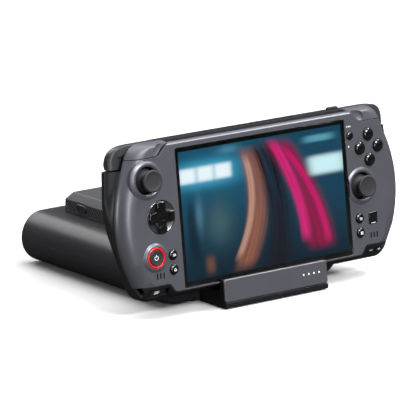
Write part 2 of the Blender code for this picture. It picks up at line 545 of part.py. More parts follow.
for name, side in (("left_trigger", -1), ("right_trigger", 1)):
    stations = [TRIGGER_IN, TRIGGER_IN + 1.0, 96.0, 104.0] + [104.0 + (TRIGGER_OUT - 104.0) * math.sin(math.radians(a))
                                                             for a in (15, 30, 45, 58, 70, 80, 90)]
    piece(name, loft([trigger_ring(side, x) for x in stations]), BLACK_GLOSS, lean,
          origin=(side * 106.0, TRIGGER_PIVOT_Y, TRIGGER_PIVOT_Z))


# ---------------------------------------------------------------- dock
def leaned(y, z):
    """The console's own (y, z) as the world's (y, z)."""
    return (DISPLAY_Y + z * math.sin(LEAN) + y * math.cos(LEAN), DISPLAY_Z + z * math.cos(LEAN) - y * math.sin(LEAN))


def at_height(depth, height):
    """Where the plane at this depth behind the console's face crosses a world height, as the world's (y, z)."""
    z = (height - DISPLAY_Z + depth * math.sin(LEAN)) / math.cos(LEAN)
    return leaned(depth, z)


DOCK_FRONT_DEPTH = 25.4          # the dock's nose runs parallel to the console's back
NOSE_R, TAIL_R, EDGE_R = 9.0, 3.0, 3.0


def dock_ring(angle, shrink=0.0):
    """The dock's (x, y) outline at an angle up or down its half-round flank."""
    z = DOCK_FLOOR + DOCK_R + (DOCK_R - shrink) * math.sin(angle)
    x = DOCK_ARC_X + (DOCK_R - shrink) * math.cos(angle)
    over = max(0.0, abs(z - DOCK_FLOOR - DOCK_R) - (DOCK_R - shrink - EDGE_R))
    ease = EDGE_R - math.sqrt(max(0.0, EDGE_R ** 2 - over ** 2)) + shrink
    front = at_height(DOCK_FRONT_DEPTH, z)[0] + ease
    back = DOCK_BACK - ease
    return [(px, py, z) for px, py in rounded([(-x, front, NOSE_R - 0.5 * shrink, 6), (x, front, NOSE_R - 0.5 * shrink, 6),
                                               (x, back, TAIL_R, 3), (-x, back, TAIL_R, 3)])]


def level(ring, z):
    return [(x, y, z) for x, y, _ in ring]


DOCK_SEAM = DOCK_FLOOR + DOCK_R
ANGLES = [math.radians(a) for a in (90, 74, 58, 42, 26, 11)]
for name, sign in (("dock_upper_shell", 1), ("dock_base", -1)):
    skin = [dock_ring(sign * a) for a in ANGLES]
    skin.append(level(dock_ring(0.0), DOCK_SEAM + sign * GAP / 2))
    skin.append(level(dock_ring(0.0, DOCK_WALL), DOCK_SEAM + sign * GAP / 2))
    skin += [dock_ring(sign * a, DOCK_WALL) for a in ANGLES[::-1]]
    piece(name, loft(skin), CHARCOAL, None)

dock_upper_shell, dock_base = bpy.data.objects["dock_upper_shell"], bpy.data.objects["dock_base"]

# Mains inlet for a figure-eight lead, low in the tail of the base.
INLET_HALF, INLET_H, INLET_Z = 11.0, 12.0, 4.6
INLET_FRONT = DOCK_BACK - 15.0
cut(dock_base, block(-INLET_HALF - GAP, INLET_HALF + GAP, DOCK_BACK - 6.0, DOCK_BACK + 4.0, INLET_Z - GAP,
                     INLET_Z + INLET_H + GAP), "inlet_opening")
mains_inlet = piece("mains_inlet", block(-INLET_HALF, INLET_HALF, INLET_FRONT, DOCK_BACK - 0.2, INLET_Z,
                                         INLET_Z + INLET_H), BLACK_SATIN, None)
cut(mains_inlet, prism(rectangle(-9.2, 9.2, INLET_Z + 1.6, INLET_Z + INLET_H - 1.6, 4.3, 6), DOCK_BACK - 12.6,
                       DOCK_BACK + 3.0), "mouth")
join(mains_inlet, joined([turned([(DOCK_BACK - 13.4, 1.2), (DOCK_BACK - 5.0, 1.2)], (x, INLET_Z + INLET_H / 2), 12)
                          for x in (-4.3, 4.3)]), "pins")

power_board = piece("power_board", block(-46.0, 46.0, -10.0, 78.0, 6.6, 8.2), BOARD_GREEN, None)
join(power_board, joined([block(-24.0, 12.0, 18.0, 50.0, 7.6, 30.0), block(20.0, 40.0, 0.0, 60.0, 7.6, 26.0),
                          block(-42.0, -30.0, 0.0, 30.0, 7.6, 22.0)]), "parts")
cut(dock_upper_shell, block(-13.3, 13.3, 4.7, 13.3, DOCK_TOP - 8.0, DOCK_TOP + 4.0), "contact_opening")
pack_connector = piece("pack_connector", block(-13.0, 13.0, 5.0, 13.0, DOCK_TOP - 6.0, DOCK_TOP - 0.4),
                       BLACK_SATIN, None)
join(pack_connector, joined([block(-10.0 + 4.5 * k, -8.0 + 4.5 * k, 7.0, 11.0, DOCK_TOP - 2.0, DOCK_TOP + 2.4)
                             for k in range(5)]), "blades")

# Cradle: arm, seat and lip that hold the console.
SEAT = BOTTOM_Z - GAP
cradle_profile = [
    at_height(LIP_FRONT, DOCK_FLOOR), leaned(LIP_FRONT, -67.1), leaned(PLATE_BACK + GAP, -67.1),
    leaned(PLATE_BACK + GAP, LIP_TOP - 0.9), leaned(PLATE_BACK + 0.9, LIP_TOP - 0.1), leaned(LIP_BACK - 0.8, LIP_TOP - 0.1),
    leaned(LIP_BACK, LIP_TOP - 0.9), leaned(LIP_BACK, -53.4), leaned(1.4, SEAT), leaned(DOCK_FRONT_DEPTH - GAP, SEAT),
    at_height(DOCK_FRONT_DEPTH - GAP, DOCK_FLOOR)]
cradle_body = piece("cradle_body", along_x(cradle_profile, -CRADLE_HALF, CRADLE_HALF), BLACK_SATIN, None)


def leaned_block(x0, x1, y0, y1, z0, z1):
    """A block along the console's axes, in world coordinates."""
    return along_x([leaned(y0, z0), leaned(y1, z0), leaned(y1, z1), leaned(y0, z1)], x0, x1)


cut(cradle_body, leaned_block(-7.3, 7.3, PLUG_Y - 3.3, PLUG_Y + 3.3, -66.0, -50.0), "plug_well")
cut(cradle_body, leaned_block(23.0, 42.4, -5.0, -1.9, -59.8, -55.4), "light_pocket")

LIP_HALF = 47.8
front_plate = piece("cradle_front_plate", loft([
    [(x, *leaned(y, z)) for x, z in rectangle(-LIP_HALF + s, LIP_HALF - s, -66.8 + s, LIP_TOP - s, 2.0 - 0.5 * s, 4)]
    for y, s in ((LIP_FRONT, 0.7), (LIP_FRONT + 0.4, 0.15), (LIP_FRONT + 0.9, 0.0), (PLATE_BACK, 0.0))]), GUNMETAL, None)
LED_X, LED_PITCH, LED_Z, LED_R = 25.5, 4.83, -57.6, 0.7


def leaned_turned(profile, centre, segments):
    points, faces = turned(profile, centre, segments)
    return [(x, *leaned(y, z)) for x, y, z in points], faces


cut(front_plate, joined([leaned_turned([(-8.0, LED_R + 0.2), (0.0, LED_R + 0.2)], (LED_X + LED_PITCH * k, LED_Z), 12)
                         for k in range(4)]), "led_holes")
light_guide = piece("light_guide", leaned_block(23.4, 42.0, -3.6, -2.2, -59.2, -56.0), LIGHT, None)
join(light_guide, joined([leaned_turned([(LIP_FRONT - 0.05, LED_R), (-2.5, LED_R)],
                                        (LED_X + LED_PITCH * k, LED_Z), 12) for k in range(4)]), "pips")

dock_plug = piece("dock_plug", leaned_block(-7.0, 7.0, PLUG_Y - 3.0, PLUG_Y + 3.0, -65.7, SEAT - 0.2), BLACK_SATIN, None)
join(dock_plug, leaned_block(-4.1, 4.1, PLUG_Y - 1.2, PLUG_Y + 1.2, -60.0, -50.2), "tongue")

FOOT_T = 2.2
for name, x, y in (("left_foot", -56.0, 20.0), ("right_foot", 56.0, 20.0)):
    outline = rectangle(x - 5.0, x + 5.0, -45.0, 85.0, 4.8, 5)
    piece(name, along_z(outline, 0.0, FOOT_T), RUBBER, None)
    grown = rectangle(x - 5.3, x + 5.3, -45.3, 85.3, 5.1, 5)
    cut(dock_base, along_z(grown, -3.0, FOOT_T + GAP - 0.1), name + "_recess")

piece("front_foot", along_z(rectangle(-42.0, 42.0, -95.0, -77.0, 3.0, 4), 0.0, FOOT_T), RUBBER, None)
cut(cradle_body, along_z(rectangle(-42.3, 42.3, -95.3, -76.7, 3.3, 4), -3.0, FOOT_T + GAP - 0.1), "foot_recess")

# ---------------------------------------------------------------- battery pack
def pack_ring(z, shrink):
    return [(x, y, PACK_Z + z) for x, y in rectangle(-PACK_HALF + shrink, PACK_HALF - shrink, PACK_FRONT + shrink,
                                                     PACK_BACK - shrink, PACK_CORNER, 4)]


PACK_SHELL_WALL = 2.0
battery_shell = piece("battery_shell", loft([
    pack_ring(PACK_H, PACK_CHAMFER + 0.9), pack_ring(PACK_H - 0.6, PACK_CHAMFER - 0.4), pack_ring(PACK_WALL_H, 0.0),
    pack_ring(0.0, 0.0), pack_ring(0.0, PACK_SHELL_WALL + 0.2), pack_ring(PACK_WALL_H - 0.8, PACK_SHELL_WALL + 0.2),
    pack_ring(PACK_H - PACK_SHELL_WALL, PACK_CHAMFER + 1.0)]), CHARCOAL, None)
RIB_COUNT = 31
ribs = []
for side in (-1, 1):
    x0, x1 = sorted((side * (PACK_HALF - RIB_DEPTH), side * (PACK_HALF + 2.0)))
    for k in range(RIB_COUNT):
        y = PACK_FRONT + 10.5 + RIB_PITCH * k
        low, high = PACK_Z + 1.0, PACK_Z + PACK_WALL_H - 0.4
        if abs(y - RELEASE_Y) > RELEASE_W / 2 + RIB_RUN / 2:       # the wall is plain round the button
            ribs.append(along_x([(y - RIB_RUN / 2, low), (y - RIB_RUN / 2 + RIB_WIDTH, low),
                                 (y + RIB_RUN / 2 + RIB_WIDTH, high), (y + RIB_RUN / 2, high)], x0, x1))
cut(battery_shell, joined(ribs), "ribs")
opening = rectangle(RELEASE_Y - RELEASE_W / 2 - GAP, RELEASE_Y + RELEASE_W / 2 + GAP,
                    RELEASE_Z - RELEASE_H / 2 - GAP, RELEASE_Z + RELEASE_H / 2 + GAP, RELEASE_CORNER + 0.1, 5)
cut(battery_shell, joined([along_x(opening, *sorted((side * 50.0, side * 70.0))) for side in (-1, 1)]),
    "release_openings")
battery_base = piece("battery_base", loft([
    pack_ring(0.4, PACK_SHELL_WALL + 0.6), pack_ring(2.2, PACK_SHELL_WALL + 0.6)]), CHARCOAL, None)
cut(battery_base, block(-14.0, 14.0, 4.2, 13.8, PACK_Z - 3.0, PACK_Z + 6.0), "contact_opening")
battery_cells = piece("battery_cells", prism(rectangle(-46.0, 46.0, PACK_Z + 2.6, PACK_Z + 12.0, 2.0, 3), 18.0, 76.0),
                      ((0.05, 0.15, 0.32), 0.4, 0.0), None)
for name, side in (("release_button_left", -1), ("release_button_right", 1)):
    rings = [[(side * x, y, z) for y, z in rectangle(
        RELEASE_Y - RELEASE_W / 2 + s, RELEASE_Y + RELEASE_W / 2 - s, RELEASE_Z - RELEASE_H / 2 + s,
        RELEASE_Z + RELEASE_H / 2 - s, RELEASE_CORNER - s, 5)]
             for x, s in ((PACK_HALF + RELEASE_PROUD, 1.0), (PACK_HALF + 0.8, 0.3), (PACK_HALF + 0.3, 0.0),
                          (PACK_HALF - 4.7, 0.0))]
    piece(name, loft(rings), BLACK_SATIN, None, origin=(side * PACK_HALF, RELEASE_Y, RELEASE_Z))
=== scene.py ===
import math

import bmesh
import bpy
from mathutils import Matrix, Vector


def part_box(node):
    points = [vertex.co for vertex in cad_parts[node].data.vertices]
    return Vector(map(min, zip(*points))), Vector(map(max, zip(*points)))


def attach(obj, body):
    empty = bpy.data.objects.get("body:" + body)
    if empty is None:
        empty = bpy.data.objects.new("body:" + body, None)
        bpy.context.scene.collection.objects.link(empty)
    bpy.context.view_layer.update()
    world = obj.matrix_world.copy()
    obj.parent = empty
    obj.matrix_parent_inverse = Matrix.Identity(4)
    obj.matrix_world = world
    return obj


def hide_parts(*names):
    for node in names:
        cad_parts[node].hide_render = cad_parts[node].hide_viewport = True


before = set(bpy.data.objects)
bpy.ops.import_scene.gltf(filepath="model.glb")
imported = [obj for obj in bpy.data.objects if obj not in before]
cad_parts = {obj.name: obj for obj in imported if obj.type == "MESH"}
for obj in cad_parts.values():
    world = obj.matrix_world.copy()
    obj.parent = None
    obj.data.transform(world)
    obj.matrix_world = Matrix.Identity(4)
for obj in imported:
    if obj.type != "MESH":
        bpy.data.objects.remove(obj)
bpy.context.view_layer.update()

# ---------------------------------------------------------------------------------------------
# Studio.  A pale floor that runs out of sight in a room that is white to the eye but dim to the
# mouldings, with broad lamps overhead, in front and behind, and small ones for the edges and domes.
bpy.context.scene.view_settings.view_transform = "Standard"
MM = 0.001


def put(node, values):
    """Sets a node's inputs by name or number, each from a value or from another node's socket."""
    for key, value in values.items():
        if hasattr(value, "is_output"):
            node.id_data.links.new(value, node.inputs[key])
        else:
            node.inputs[key].default_value = value


def blend(nodes, factor, low, high):
    """Two colours mixed by a socket; low may itself be a socket."""
    made = nodes.new("ShaderNodeMix")
    made.data_type = "RGBA"
    put(made, {"Factor": factor, 6: low if hasattr(low, "is_output") else (*low, 1.0), 7: (*high, 1.0)})
    return made.outputs[2]


def new_material(name):
    """An empty material, its nodes and its shader."""
    made = bpy.data.materials.new(name)
    made.use_nodes = True
    nodes = made.node_tree.nodes
    return made, nodes, nodes["Principled BSDF"]


LEAN = math.radians(7.3)
lcd_low, lcd_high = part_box("lcd_panel")
PANEL_MIDDLE = 2.85 * MM         # how far the middle of the display panel lies behind the face
into = Vector((0.0, math.cos(LEAN), -math.sin(LEAN)))
display = (lcd_low + lcd_high) / 2 - into * PANEL_MIDDLE

SWING, RISE = 0.65605, 0.24300   # camera angle round the object and above the horizon, radians
DISTANCE, SENSOR, FOCAL = 2.99098, 36.0, 358.76
target = display + Vector((-0.05302, 0.0, 0.00356))
forward = Vector((math.sin(SWING) * math.cos(RISE), math.cos(SWING) * math.cos(RISE), -math.sin(RISE)))
right = Vector((math.cos(SWING), -math.sin(SWING), 0.0))
upward = right.cross(forward)
camera_data = bpy.data.cameras.new("camera")
camera_data.lens, camera_data.sensor_width = FOCAL, SENSOR
camera_data.clip_end = 20.0
camera = bpy.data.objects.new("camera", camera_data)
turn = Matrix((right, upward, -forward)).transposed()
camera.matrix_world = Matrix.Translation(target - forward * DISTANCE) @ turn.to_4x4()
bpy.context.scene.collection.objects.link(camera)
bpy.context.scene.camera = camera

world = bpy.data.worlds.new("studio_room")
world.use_nodes = True
nodes = world.node_tree.nodes
height = nodes.new("ShaderNodeSeparateXYZ")
put(height, {0: nodes.new("ShaderNodeTexCoord").outputs["Generated"]})
ceiling = nodes.new("ShaderNodeMapRange")
put(ceiling, {"Value": height.outputs["Z"], "From Max": 0.9, "To Min": 0.02, "To Max": 0.32})
backdrop = nodes.new("ShaderNodeMix")
put(backdrop, {"Factor": nodes.new("ShaderNodeLightPath").outputs["Is Camera Ray"],
               2: ceiling.outputs["Result"], 3: 1.0})
put(nodes["Background"], {"Strength": backdrop.outputs[0], "Color": (1.0, 1.0, 1.0, 1.0)})
bpy.context.scene.world = world


def lamp(name, place, size, watts, aim=(0.0, -0.03, 0.06)):
    """A rectangular studio lamp, size (across, high) in metres, turned to face aim."""
    data = bpy.data.lights.new(name, "AREA")
    data.shape, data.size, data.size_y, data.energy = "RECTANGLE", size[0], size[1], watts
    made = bpy.data.objects.new(name, data)
    made.location = place
    made.rotation_euler = (Vector(aim) - Vector(place)).to_track_quat("-Z", "Y").to_euler()
    bpy.context.scene.collection.objects.link(made)


lamp("overhead_lamp", (0.0, 0.2, 2.2), (2.4, 1.4), 34.0)
lamp("back_lamp", (-0.10, 1.9, 1.5), (1.6, 0.9), 15.0)
lamp("right_lamp", (1.25, -0.45, 1.55), (0.9, 0.35), 20.0)
lamp("front_lamp", (0.2, -2.0, 1.7), (1.3, 0.8), 44.0)
lamp("front_left_strip", (-0.65, -2.1, 0.45), (0.22, 0.9), 9.0)
lamp("low_left_lamp", (-1.8, 0.3, 0.25), (0.30, 0.46), 4.5)
lamp("key_lamp", (0.15, -1.9, 1.35), (0.26, 0.26), 9.0)

REACH = 8.0
floor_mesh = bpy.data.meshes.new("studio_floor")
floor_mesh.from_pydata([(-REACH, -REACH, 0), (REACH, -REACH, 0), (REACH, REACH, 0), (-REACH, REACH, 0)], [],
                       [(0, 1, 2, 3)])
floor = bpy.data.objects.new("studio_floor", floor_mesh)
bpy.context.scene.collection.objects.link(floor)
# The floor is pale to the camera and dark to every other ray. This is painted shade, which keeps the floor
# out of the mouldings' reflections and bounce light.
floor_paper, nodes, shader = new_material("floor_paper")
seen = nodes.new("ShaderNodeLightPath").outputs["Is Camera Ray"]
put(shader, {"Base Color": blend(nodes, seen, (0.05, 0.05, 0.05), (0.95, 0.95, 0.96)),
             "Roughness": 1.0, "Specular IOR Level": 0.0})
floor_mesh.materials.append(floor_paper)

# ---------------------------------------------------------------------------------------------
# Front shell.  One injection moulding in glass-filled plastic, sprayed with a satin gunmetal
# paint; its edge rolls back to the seam, and raised collars ring the two sticks and the power key.
console_axes = Matrix.Translation(display) @ Matrix.Rotation(-LEAN, 4, "X")
room_axes = Matrix.Identity(4)


def span(node, axes=console_axes):
    """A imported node's lowest and highest corner in those axes, in millimetres."""
    back = axes.inverted()
    points = [back @ v.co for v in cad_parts[node].data.vertices]
    return (Vector([min(p[i] for p in points) for i in range(3)]) / MM,
            Vector([max(p[i] for p in points) for i in range(3)]) / MM)


def middle(node, axes=console_axes):
    low, high = span(node, axes)
    return (low + high) / 2


def loft(rings):
    """A closed skin over rings of equal length, flat at both ends."""
    count = len(rings[0])
    points = [p for ring in rings for p in ring]
    faces = [list(range(count)), [(len(rings) - 1) * count + i for i in range(count)]]
    for k in range(len(rings) - 1):
        for i in range(count):
            j = (i + 1) % count
            faces.append([k * count + i, k * count + j, (k + 1) * count + j, (k + 1) * count + i])
    return points, faces


def joined(shapes):
    points, faces = [], []
    for more_points, more_faces in shapes:
        start = len(points)
        points += more_points
        faces += [[start + i for i in face] for face in more_faces]
    return points, faces


def prism(outline, y0, y1):
    return loft([[(x, y, z) for x, z in outline] for y in (y0, y1)])


def block(x0, x1, y0, y1, z0, z1):
    return loft([[(x0, y, z0), (x1, y, z0), (x1, y, z1), (x0, y, z1)] for y in (y0, y1)])


def turned(profile, centre, segments=64):
    """A (y, radius) profile turned about the y axis through centre (x, z)."""
    angles = [2 * math.pi * i / segments for i in range(segments)]
    return loft([[(centre[0] + r * math.cos(a), y, centre[1] + r * math.sin(a)) for a in angles]
                 for y, r in profile])


def mesh_of(name, shape, axes):
    mesh = bpy.data.meshes.new(name)
    bm = bmesh.new()
    points = [bm.verts.new(Vector(p) * MM) for p in shape[0]]
    for face in shape[1]:
        bm.faces.new([points[i] for i in face])
    bmesh.ops.recalc_face_normals(bm, faces=bm.faces)
    bm.to_mesh(mesh)
    bm.free()
    made = bpy.data.objects.new(name, mesh)
    made.matrix_world = axes
    bpy.context.scene.collection.objects.link(made)
    return made


def carve(target_piece, shape, operation="DIFFERENCE"):
    """Cuts a shape out of a piece, or joins it on, and keeps the result as its mesh."""
    tool = mesh_of("tool", shape, target_piece.matrix_world)
    step = target_piece.modifiers.new("carve", "BOOLEAN")
    step.operation, step.solver, step.object = operation, "EXACT", tool
    bpy.context.view_layer.update()
    evaluated = target_piece.evaluated_get(bpy.context.evaluated_depsgraph_get())
    result = bpy.data.meshes.new_from_object(evaluated)
    target_piece.modifiers.clear()
    old = target_piece.data
    target_piece.data = result
    bpy.data.meshes.remove(old)
    bpy.data.objects.remove(tool, do_unlink=True)


def join_piece(target_piece, other):
    """Joins another piece on and removes it."""
    carve(target_piece, ([tuple(v.co / MM) for v in other.data.vertices],
                         [list(face.vertices) for face in other.data.polygons]), "UNION")
    bpy.data.objects.remove(other, do_unlink=True)


def dress(made, look, body, nodes=(), smooth_below=32.0):
    """Shades the piece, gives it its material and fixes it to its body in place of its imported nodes."""
    made.data.shade_smooth()
    made.data.set_sharp_from_angle(angle=math.radians(smooth_below))
    weigh = made.modifiers.new("weighted_normals", "WEIGHTED_NORMAL")
    weigh.keep_sharp = True
    made.data.materials.clear()
    made.data.materials.append(look)
    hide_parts(*nodes)
    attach(made, body)
    return made


def node_group(name, inputs, outputs):
    """An empty shader group with its sockets: inputs {name: value}, outputs [(name, type)]."""
    group = bpy.data.node_groups.new(name, "ShaderNodeTree")
    for label, value in inputs.items():
        socket = group.interface.new_socket(label, in_out="INPUT", socket_type="NodeSocketFloat")
        socket.default_value = value
    for label, kind in outputs:
        group.interface.new_socket(label, in_out="OUTPUT", socket_type=kind)
    entry, leave = group.nodes.new("NodeGroupInput"), group.nodes.new("NodeGroupOutput")
    return group, entry, leave


def noise(nodes, coords, scale, detail=2.0, rough=0.5):
    made = nodes.new("ShaderNodeTexNoise")
    put(made, {"Vector": coords, "Scale": scale, "Detail": detail, "Roughness": rough})
    return made.outputs["Fac"]


def scaled(nodes, value, low, high):
    """value, from 0 to 1, spread between low and high, each a number or a socket."""
    made = nodes.new("ShaderNodeMapRange")
    put(made, {"Value": value, "To Min": low, "To Max": high})
    return made.outputs["Result"]


def maths(operation, *values):
    """A sum in the tree that is being built: each value is a number or a socket."""
    made = nodes.new("ShaderNodeMath")
    made.operation = operation
    put(made, dict(enumerate(values)))
    return made.outputs[0]


# Moulded grain: the spark texture of the tool, plus the faint cloudiness that hands leave on it.
grain_group, entry, leave = node_group(
    "moulded_grain", {"Grain Scale": 2400.0, "Roughness": 0.4, "Spread": 0.08},
    [("Height", "NodeSocketFloat"), ("Roughness", "NodeSocketFloat"), ("Tone", "NodeSocketFloat")])
nodes = grain_group.nodes
coords = nodes.new("ShaderNodeTexCoord").outputs["Object"]
fine = noise(nodes, coords, entry.outputs["Grain Scale"], 2.0)
cloud = noise(nodes, coords, 45.0, 4.0, 0.6)
between = [maths(way, entry.outputs["Roughness"], entry.outputs["Spread"]) for way in ("SUBTRACT", "ADD")]
put(leave, {"Height": fine, "Roughness": scaled(nodes, cloud, *between),
            "Tone": maths("MULTIPLY_ADD", fine, 0.6, maths("MULTIPLY", cloud, 0.4))})


def moulding(name, dark, light, roughness, spread=0.07, grain=2400.0, depth=0.06, metallic=0.0, coat=0.0,
             round_edge=0.25):
    """A moulded or painted finish: two near tones mixed by the grain, soft edges and a fine bump."""
    made, nodes, shader = new_material(name)
    grained = nodes.new("ShaderNodeGroup")
    grained.node_tree = grain_group
    put(grained, {"Grain Scale": grain, "Roughness": roughness, "Spread": spread})
    bump = nodes.new("ShaderNodeBump")
    put(bump, {"Strength": depth, "Distance": 0.0001, "Height": grained.outputs["Height"]})
    if round_edge:
        edge = nodes.new("ShaderNodeBevel")
        edge.samples = 4
        put(edge, {"Radius": round_edge * MM})
        put(bump, {"Normal": edge.outputs["Normal"]})
    put(shader, {"Metallic": metallic, "Coat Weight": coat, "Coat Roughness": 0.08,
                 "Base Color": blend(nodes, grained.outputs["Tone"], dark, light),
                 "Roughness": grained.outputs["Roughness"], "Normal": bump.outputs["Normal"]})
    return made


gunmetal = moulding("gunmetal_paint", (0.150, 0.153, 0.178), (0.190, 0.194, 0.222), 0.36, 0.05, 2600.0, 0.10,
                    metallic=0.55, round_edge=0.35)

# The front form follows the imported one, with finer steps.
FACE_TOP, FACE_BOTTOM, GRIP_BOTTOM = 53.5, -52.2, -45.3
TOP_Z, BOTTOM_Z, SEAM_Y, WALL = 57.0, -57.3, 10.0, 2.0
WRAP_HALF, WRAP_TOP, WRAP_GRIP, WRAP_MIDDLE = 83.4, 55.6, -45.9, -52.9
FINE = (18, 30, 14, 6, 6)


def rounded(corners):
    """A closed outline from (x, z, radius, steps) corners."""
    outline = []
    for i, (x, z, radius, steps) in enumerate(corners):
        corner = Vector((x, z))
        back = (Vector(corners[i - 1][:2]) - corner).normalized()
        ahead = (Vector(corners[(i + 1) % len(corners)][:2]) - corner).normalized()
        half = 0.5 * back.angle(ahead)
        centre = back + ahead
        if centre.length < 1e-3:
            outline += [tuple(corner + back * radius * (1 - 2 * k / steps)) for k in range(steps + 1)]
            continue
        reach = radius / math.tan(half)
        centre = corner + centre.normalized() * radius / math.sin(half)
        start, end = corner + back * reach - centre, corner + ahead * reach - centre
        sweep = start.angle_signed(end)
        for k in range(steps + 1):
            a = -sweep * k / steps
            outline.append((centre.x + start.x * math.cos(a) - start.y * math.sin(a),
                            centre.y + start.x * math.sin(a) + start.y * math.cos(a)))
    return outline


def rectangle(x0, x1, z0, z1, radius, steps=8):
    return rounded([(x0, z0, radius, steps), (x1, z0, radius, steps), (x1, z1, radius, steps),
                    (x0, z1, radius, steps)])


def stack(low, high, levels, radius, steps, along=1, taper=0.0):
    """A skin over a box's rounded outline, at each (place, shrink) along axis 0, 1 or 2."""
    i, j = [k for k in range(3) if k != along]
    rings = []
    for place, s in levels:
        outline = rectangle(low[i] + s, high[i] - s, low[j] + s, high[j] - s, radius - taper * s, steps)
        rings.append([(*p[:along], place, *p[along:]) for p in outline])
    return loft(rings)


def mirrored(corners):
    return corners + [(-x, z, radius, steps) for x, z, radius, steps in reversed(corners)]


def inset(outline, distance):
    moved = []
    for i, point in enumerate(outline):
        here, before, after = Vector(point), Vector(outline[i - 1]), Vector(outline[(i + 1) % len(outline)])
        along = ((here - before).normalized() + (after - here).normalized()).normalized()
        moved.append((here.x + along.y * distance, here.y - along.x * distance))
    return moved


face_outline = rounded(mirrored([(104.0, FACE_TOP, 10.0, FINE[0]), (119.2, -2.0, 80.0, FINE[1]),
                                 (107.0, GRIP_BOTTOM, 7.0, FINE[2]), (91.2, GRIP_BOTTOM, 3.2, FINE[3]),
                                 (86.6, FACE_BOTTOM, 3.2, FINE[4])]))
seam_outline = rounded(mirrored([(113.5, TOP_Z, 15.0, FINE[0]), (136.2, -3.0, 90.0, FINE[1]),
                                 (114.0, BOTTOM_Z, 13.0, FINE[2]), (94.0, BOTTOM_Z, 2.0, FINE[3]),
                                 (86.0, BOTTOM_Z, 2.0, FINE[4])]))
rear_outline = rounded(mirrored([(128.0, TOP_Z, 10.0, FINE[0]), (132.2, 5.0, 80.0, FINE[1]),
                                 (114.0, BOTTOM_Z, 13.0, FINE[2]), (94.0, BOTTOM_Z, 2.0, FINE[3]),
                                 (86.0, BOTTOM_Z, 2.0, FINE[4])]))
roundness = [w for w, n in zip((0.85, 1.0, 0.45, 0.2, 0.35), FINE) for _ in range(n + 1)]
roundness += roundness[::-1]


def front_ring(t, depth=SEAM_Y, shrink=0.0):
    ring = []
    for (x0, z0), (x1, z1), w in zip(inset(face_outline, shrink), inset(seam_outline, shrink), roundness):
        out = (1 - w) * t + w * math.sin(t * math.pi / 2)
        back = (1 - w) * t + w * (1 - math.cos(t * math.pi / 2))
        ring.append((x0 + (x1 - x0) * out, depth * back, z0 + (z1 - z0) * out))
    return ring


BUMPER_LINE, BUMPER_INNER, BUMPER_BEND = 46.8, 83.5, 95.0


def bumper_region(side, grow):
    outline = []
    for k in range(33):
        t = k / 32
        x = BUMPER_INNER + (BUMPER_BEND - BUMPER_INNER) * t
        outline.append((x - grow,
                        FACE_TOP + 1.5 - (FACE_TOP + 1.5 - BUMPER_LINE) * (3 * t * t - 2 * t ** 3) - grow))
    outline += [(150.0, BUMPER_LINE - 0.6 - grow), (150.0, 80.0), (BUMPER_INNER - grow, 80.0)]
    return [(side * x, z) for x, z in outline]


HEEL_SLOPE, HEEL_Y, HEEL_Z, KEY_HALF = math.radians(50), 4.6, -51.0, 2.7
into_heel = Vector((math.sin(HEEL_SLOPE), math.cos(HEEL_SLOPE)))
up_heel = Vector((-into_heel.y, into_heel.x))


def heel_key(x0, x1, low, high, grow, half=KEY_HALF):
    """A key across the sloping heel under a grip."""
    corners = [Vector((HEEL_Y, HEEL_Z)) + up_heel * u + into_heel * v for u, v in
               ((-half - grow, low), (half + grow, low), (half + grow, high), (-half - grow, high))]
    return loft([[(x, c.x, c.y) for c in corners] for x in (x0 - grow, x1 + grow)])


def wrap_shapes(gap):
    """What the rear shell takes of the front form, at the top and along the bottom, less a gap."""
    half, low = WRAP_HALF - gap, WRAP_TOP + gap
    bottom = rounded(mirrored([(150.0, WRAP_GRIP - gap, 1.0, 1), (91.4, WRAP_GRIP - gap, 3.2, 8),
                               (86.8, WRAP_MIDDLE - gap, 3.2, 8)])
                     + [(-150.0, -80.0, 1.0, 1), (150.0, -80.0, 1.0, 1)])
    return [block(-half, half, -6.0, 13.0, low, 80.0), prism(bottom, -6.0, 13.0)]


left_stick, right_stick = middle("left_stick"), middle("right_stick")
dpad_middle, power_middle = middle("dpad"), middle("power_button")
FACE_KEYS = ("face_button_top", "face_button_right", "face_button_bottom", "face_button_left")
SMALL_KEYS = ("view_button", "home_button", "options_button", "library_button")
STICK_BORE, GAP = 10.2, 0.3
RIM = 20
outer = [front_ring(k / RIM) for k in range(RIM + 1)]
inner = [[(x, max(y, WALL + 0.4), z) for x, y, z in front_ring(t, shrink=WALL)]
         for t in (1.0, 0.75, 0.5, 0.25)]
inner[0] = [(x, SEAM_Y, z) for x, _, z in inner[0]]
front_shell = mesh_of("front_shell_skin", loft(outer + inner), console_axes)
carve(front_shell, joined([prism(bumper_region(side, 0.25), -6.0, 14.0) for side in (-1, 1)]))
carve(front_shell, joined(wrap_shapes(0.1)))
carve(front_shell, block(-WRAP_HALF, WRAP_HALF, WALL + 0.8, 14.0, 51.0, WRAP_TOP + 1.0))
collars = [turned([(3.0, STICK_BORE + 4.6), (0.4, STICK_BORE + 4.6), (0.05, STICK_BORE + 4.2),
                   (-0.35, STICK_BORE + 3.5), (-0.85, STICK_BORE + 2.7), (-1.12, STICK_BORE + 2.0),
                   (-1.2, STICK_BORE + 1.5), (-1.1, STICK_BORE + 0.9), (-0.6, STICK_BORE + 0.2),
                   (-0.2, STICK_BORE - 1.0), (3.0, STICK_BORE - 1.0)],
                  (at.x, at.z), 96) for at in (left_stick, right_stick)]
collars.append(turned([(1.5, 11.0), (0.1, 11.0), (-0.15, 10.5), (-0.6, 9.8), (-1.05, 9.2), (-1.3, 8.5),
                       (-1.3, 5.0), (1.5, 5.0)], (power_middle.x, power_middle.z), 96))
carve(front_shell, joined(collars), "UNION")
glass_low, glass_high = span("display_glass")
carve(front_shell, stack(glass_low, glass_high, ((-2.0, -0.15), (1.5, -0.15)), 1.5, 6))
panel_low, panel_high = span("lcd_panel")
carve(front_shell, block(panel_low.x - GAP, panel_high.x + GAP, 1.0, 6.0, panel_low.z - GAP,
                         panel_high.z + GAP))
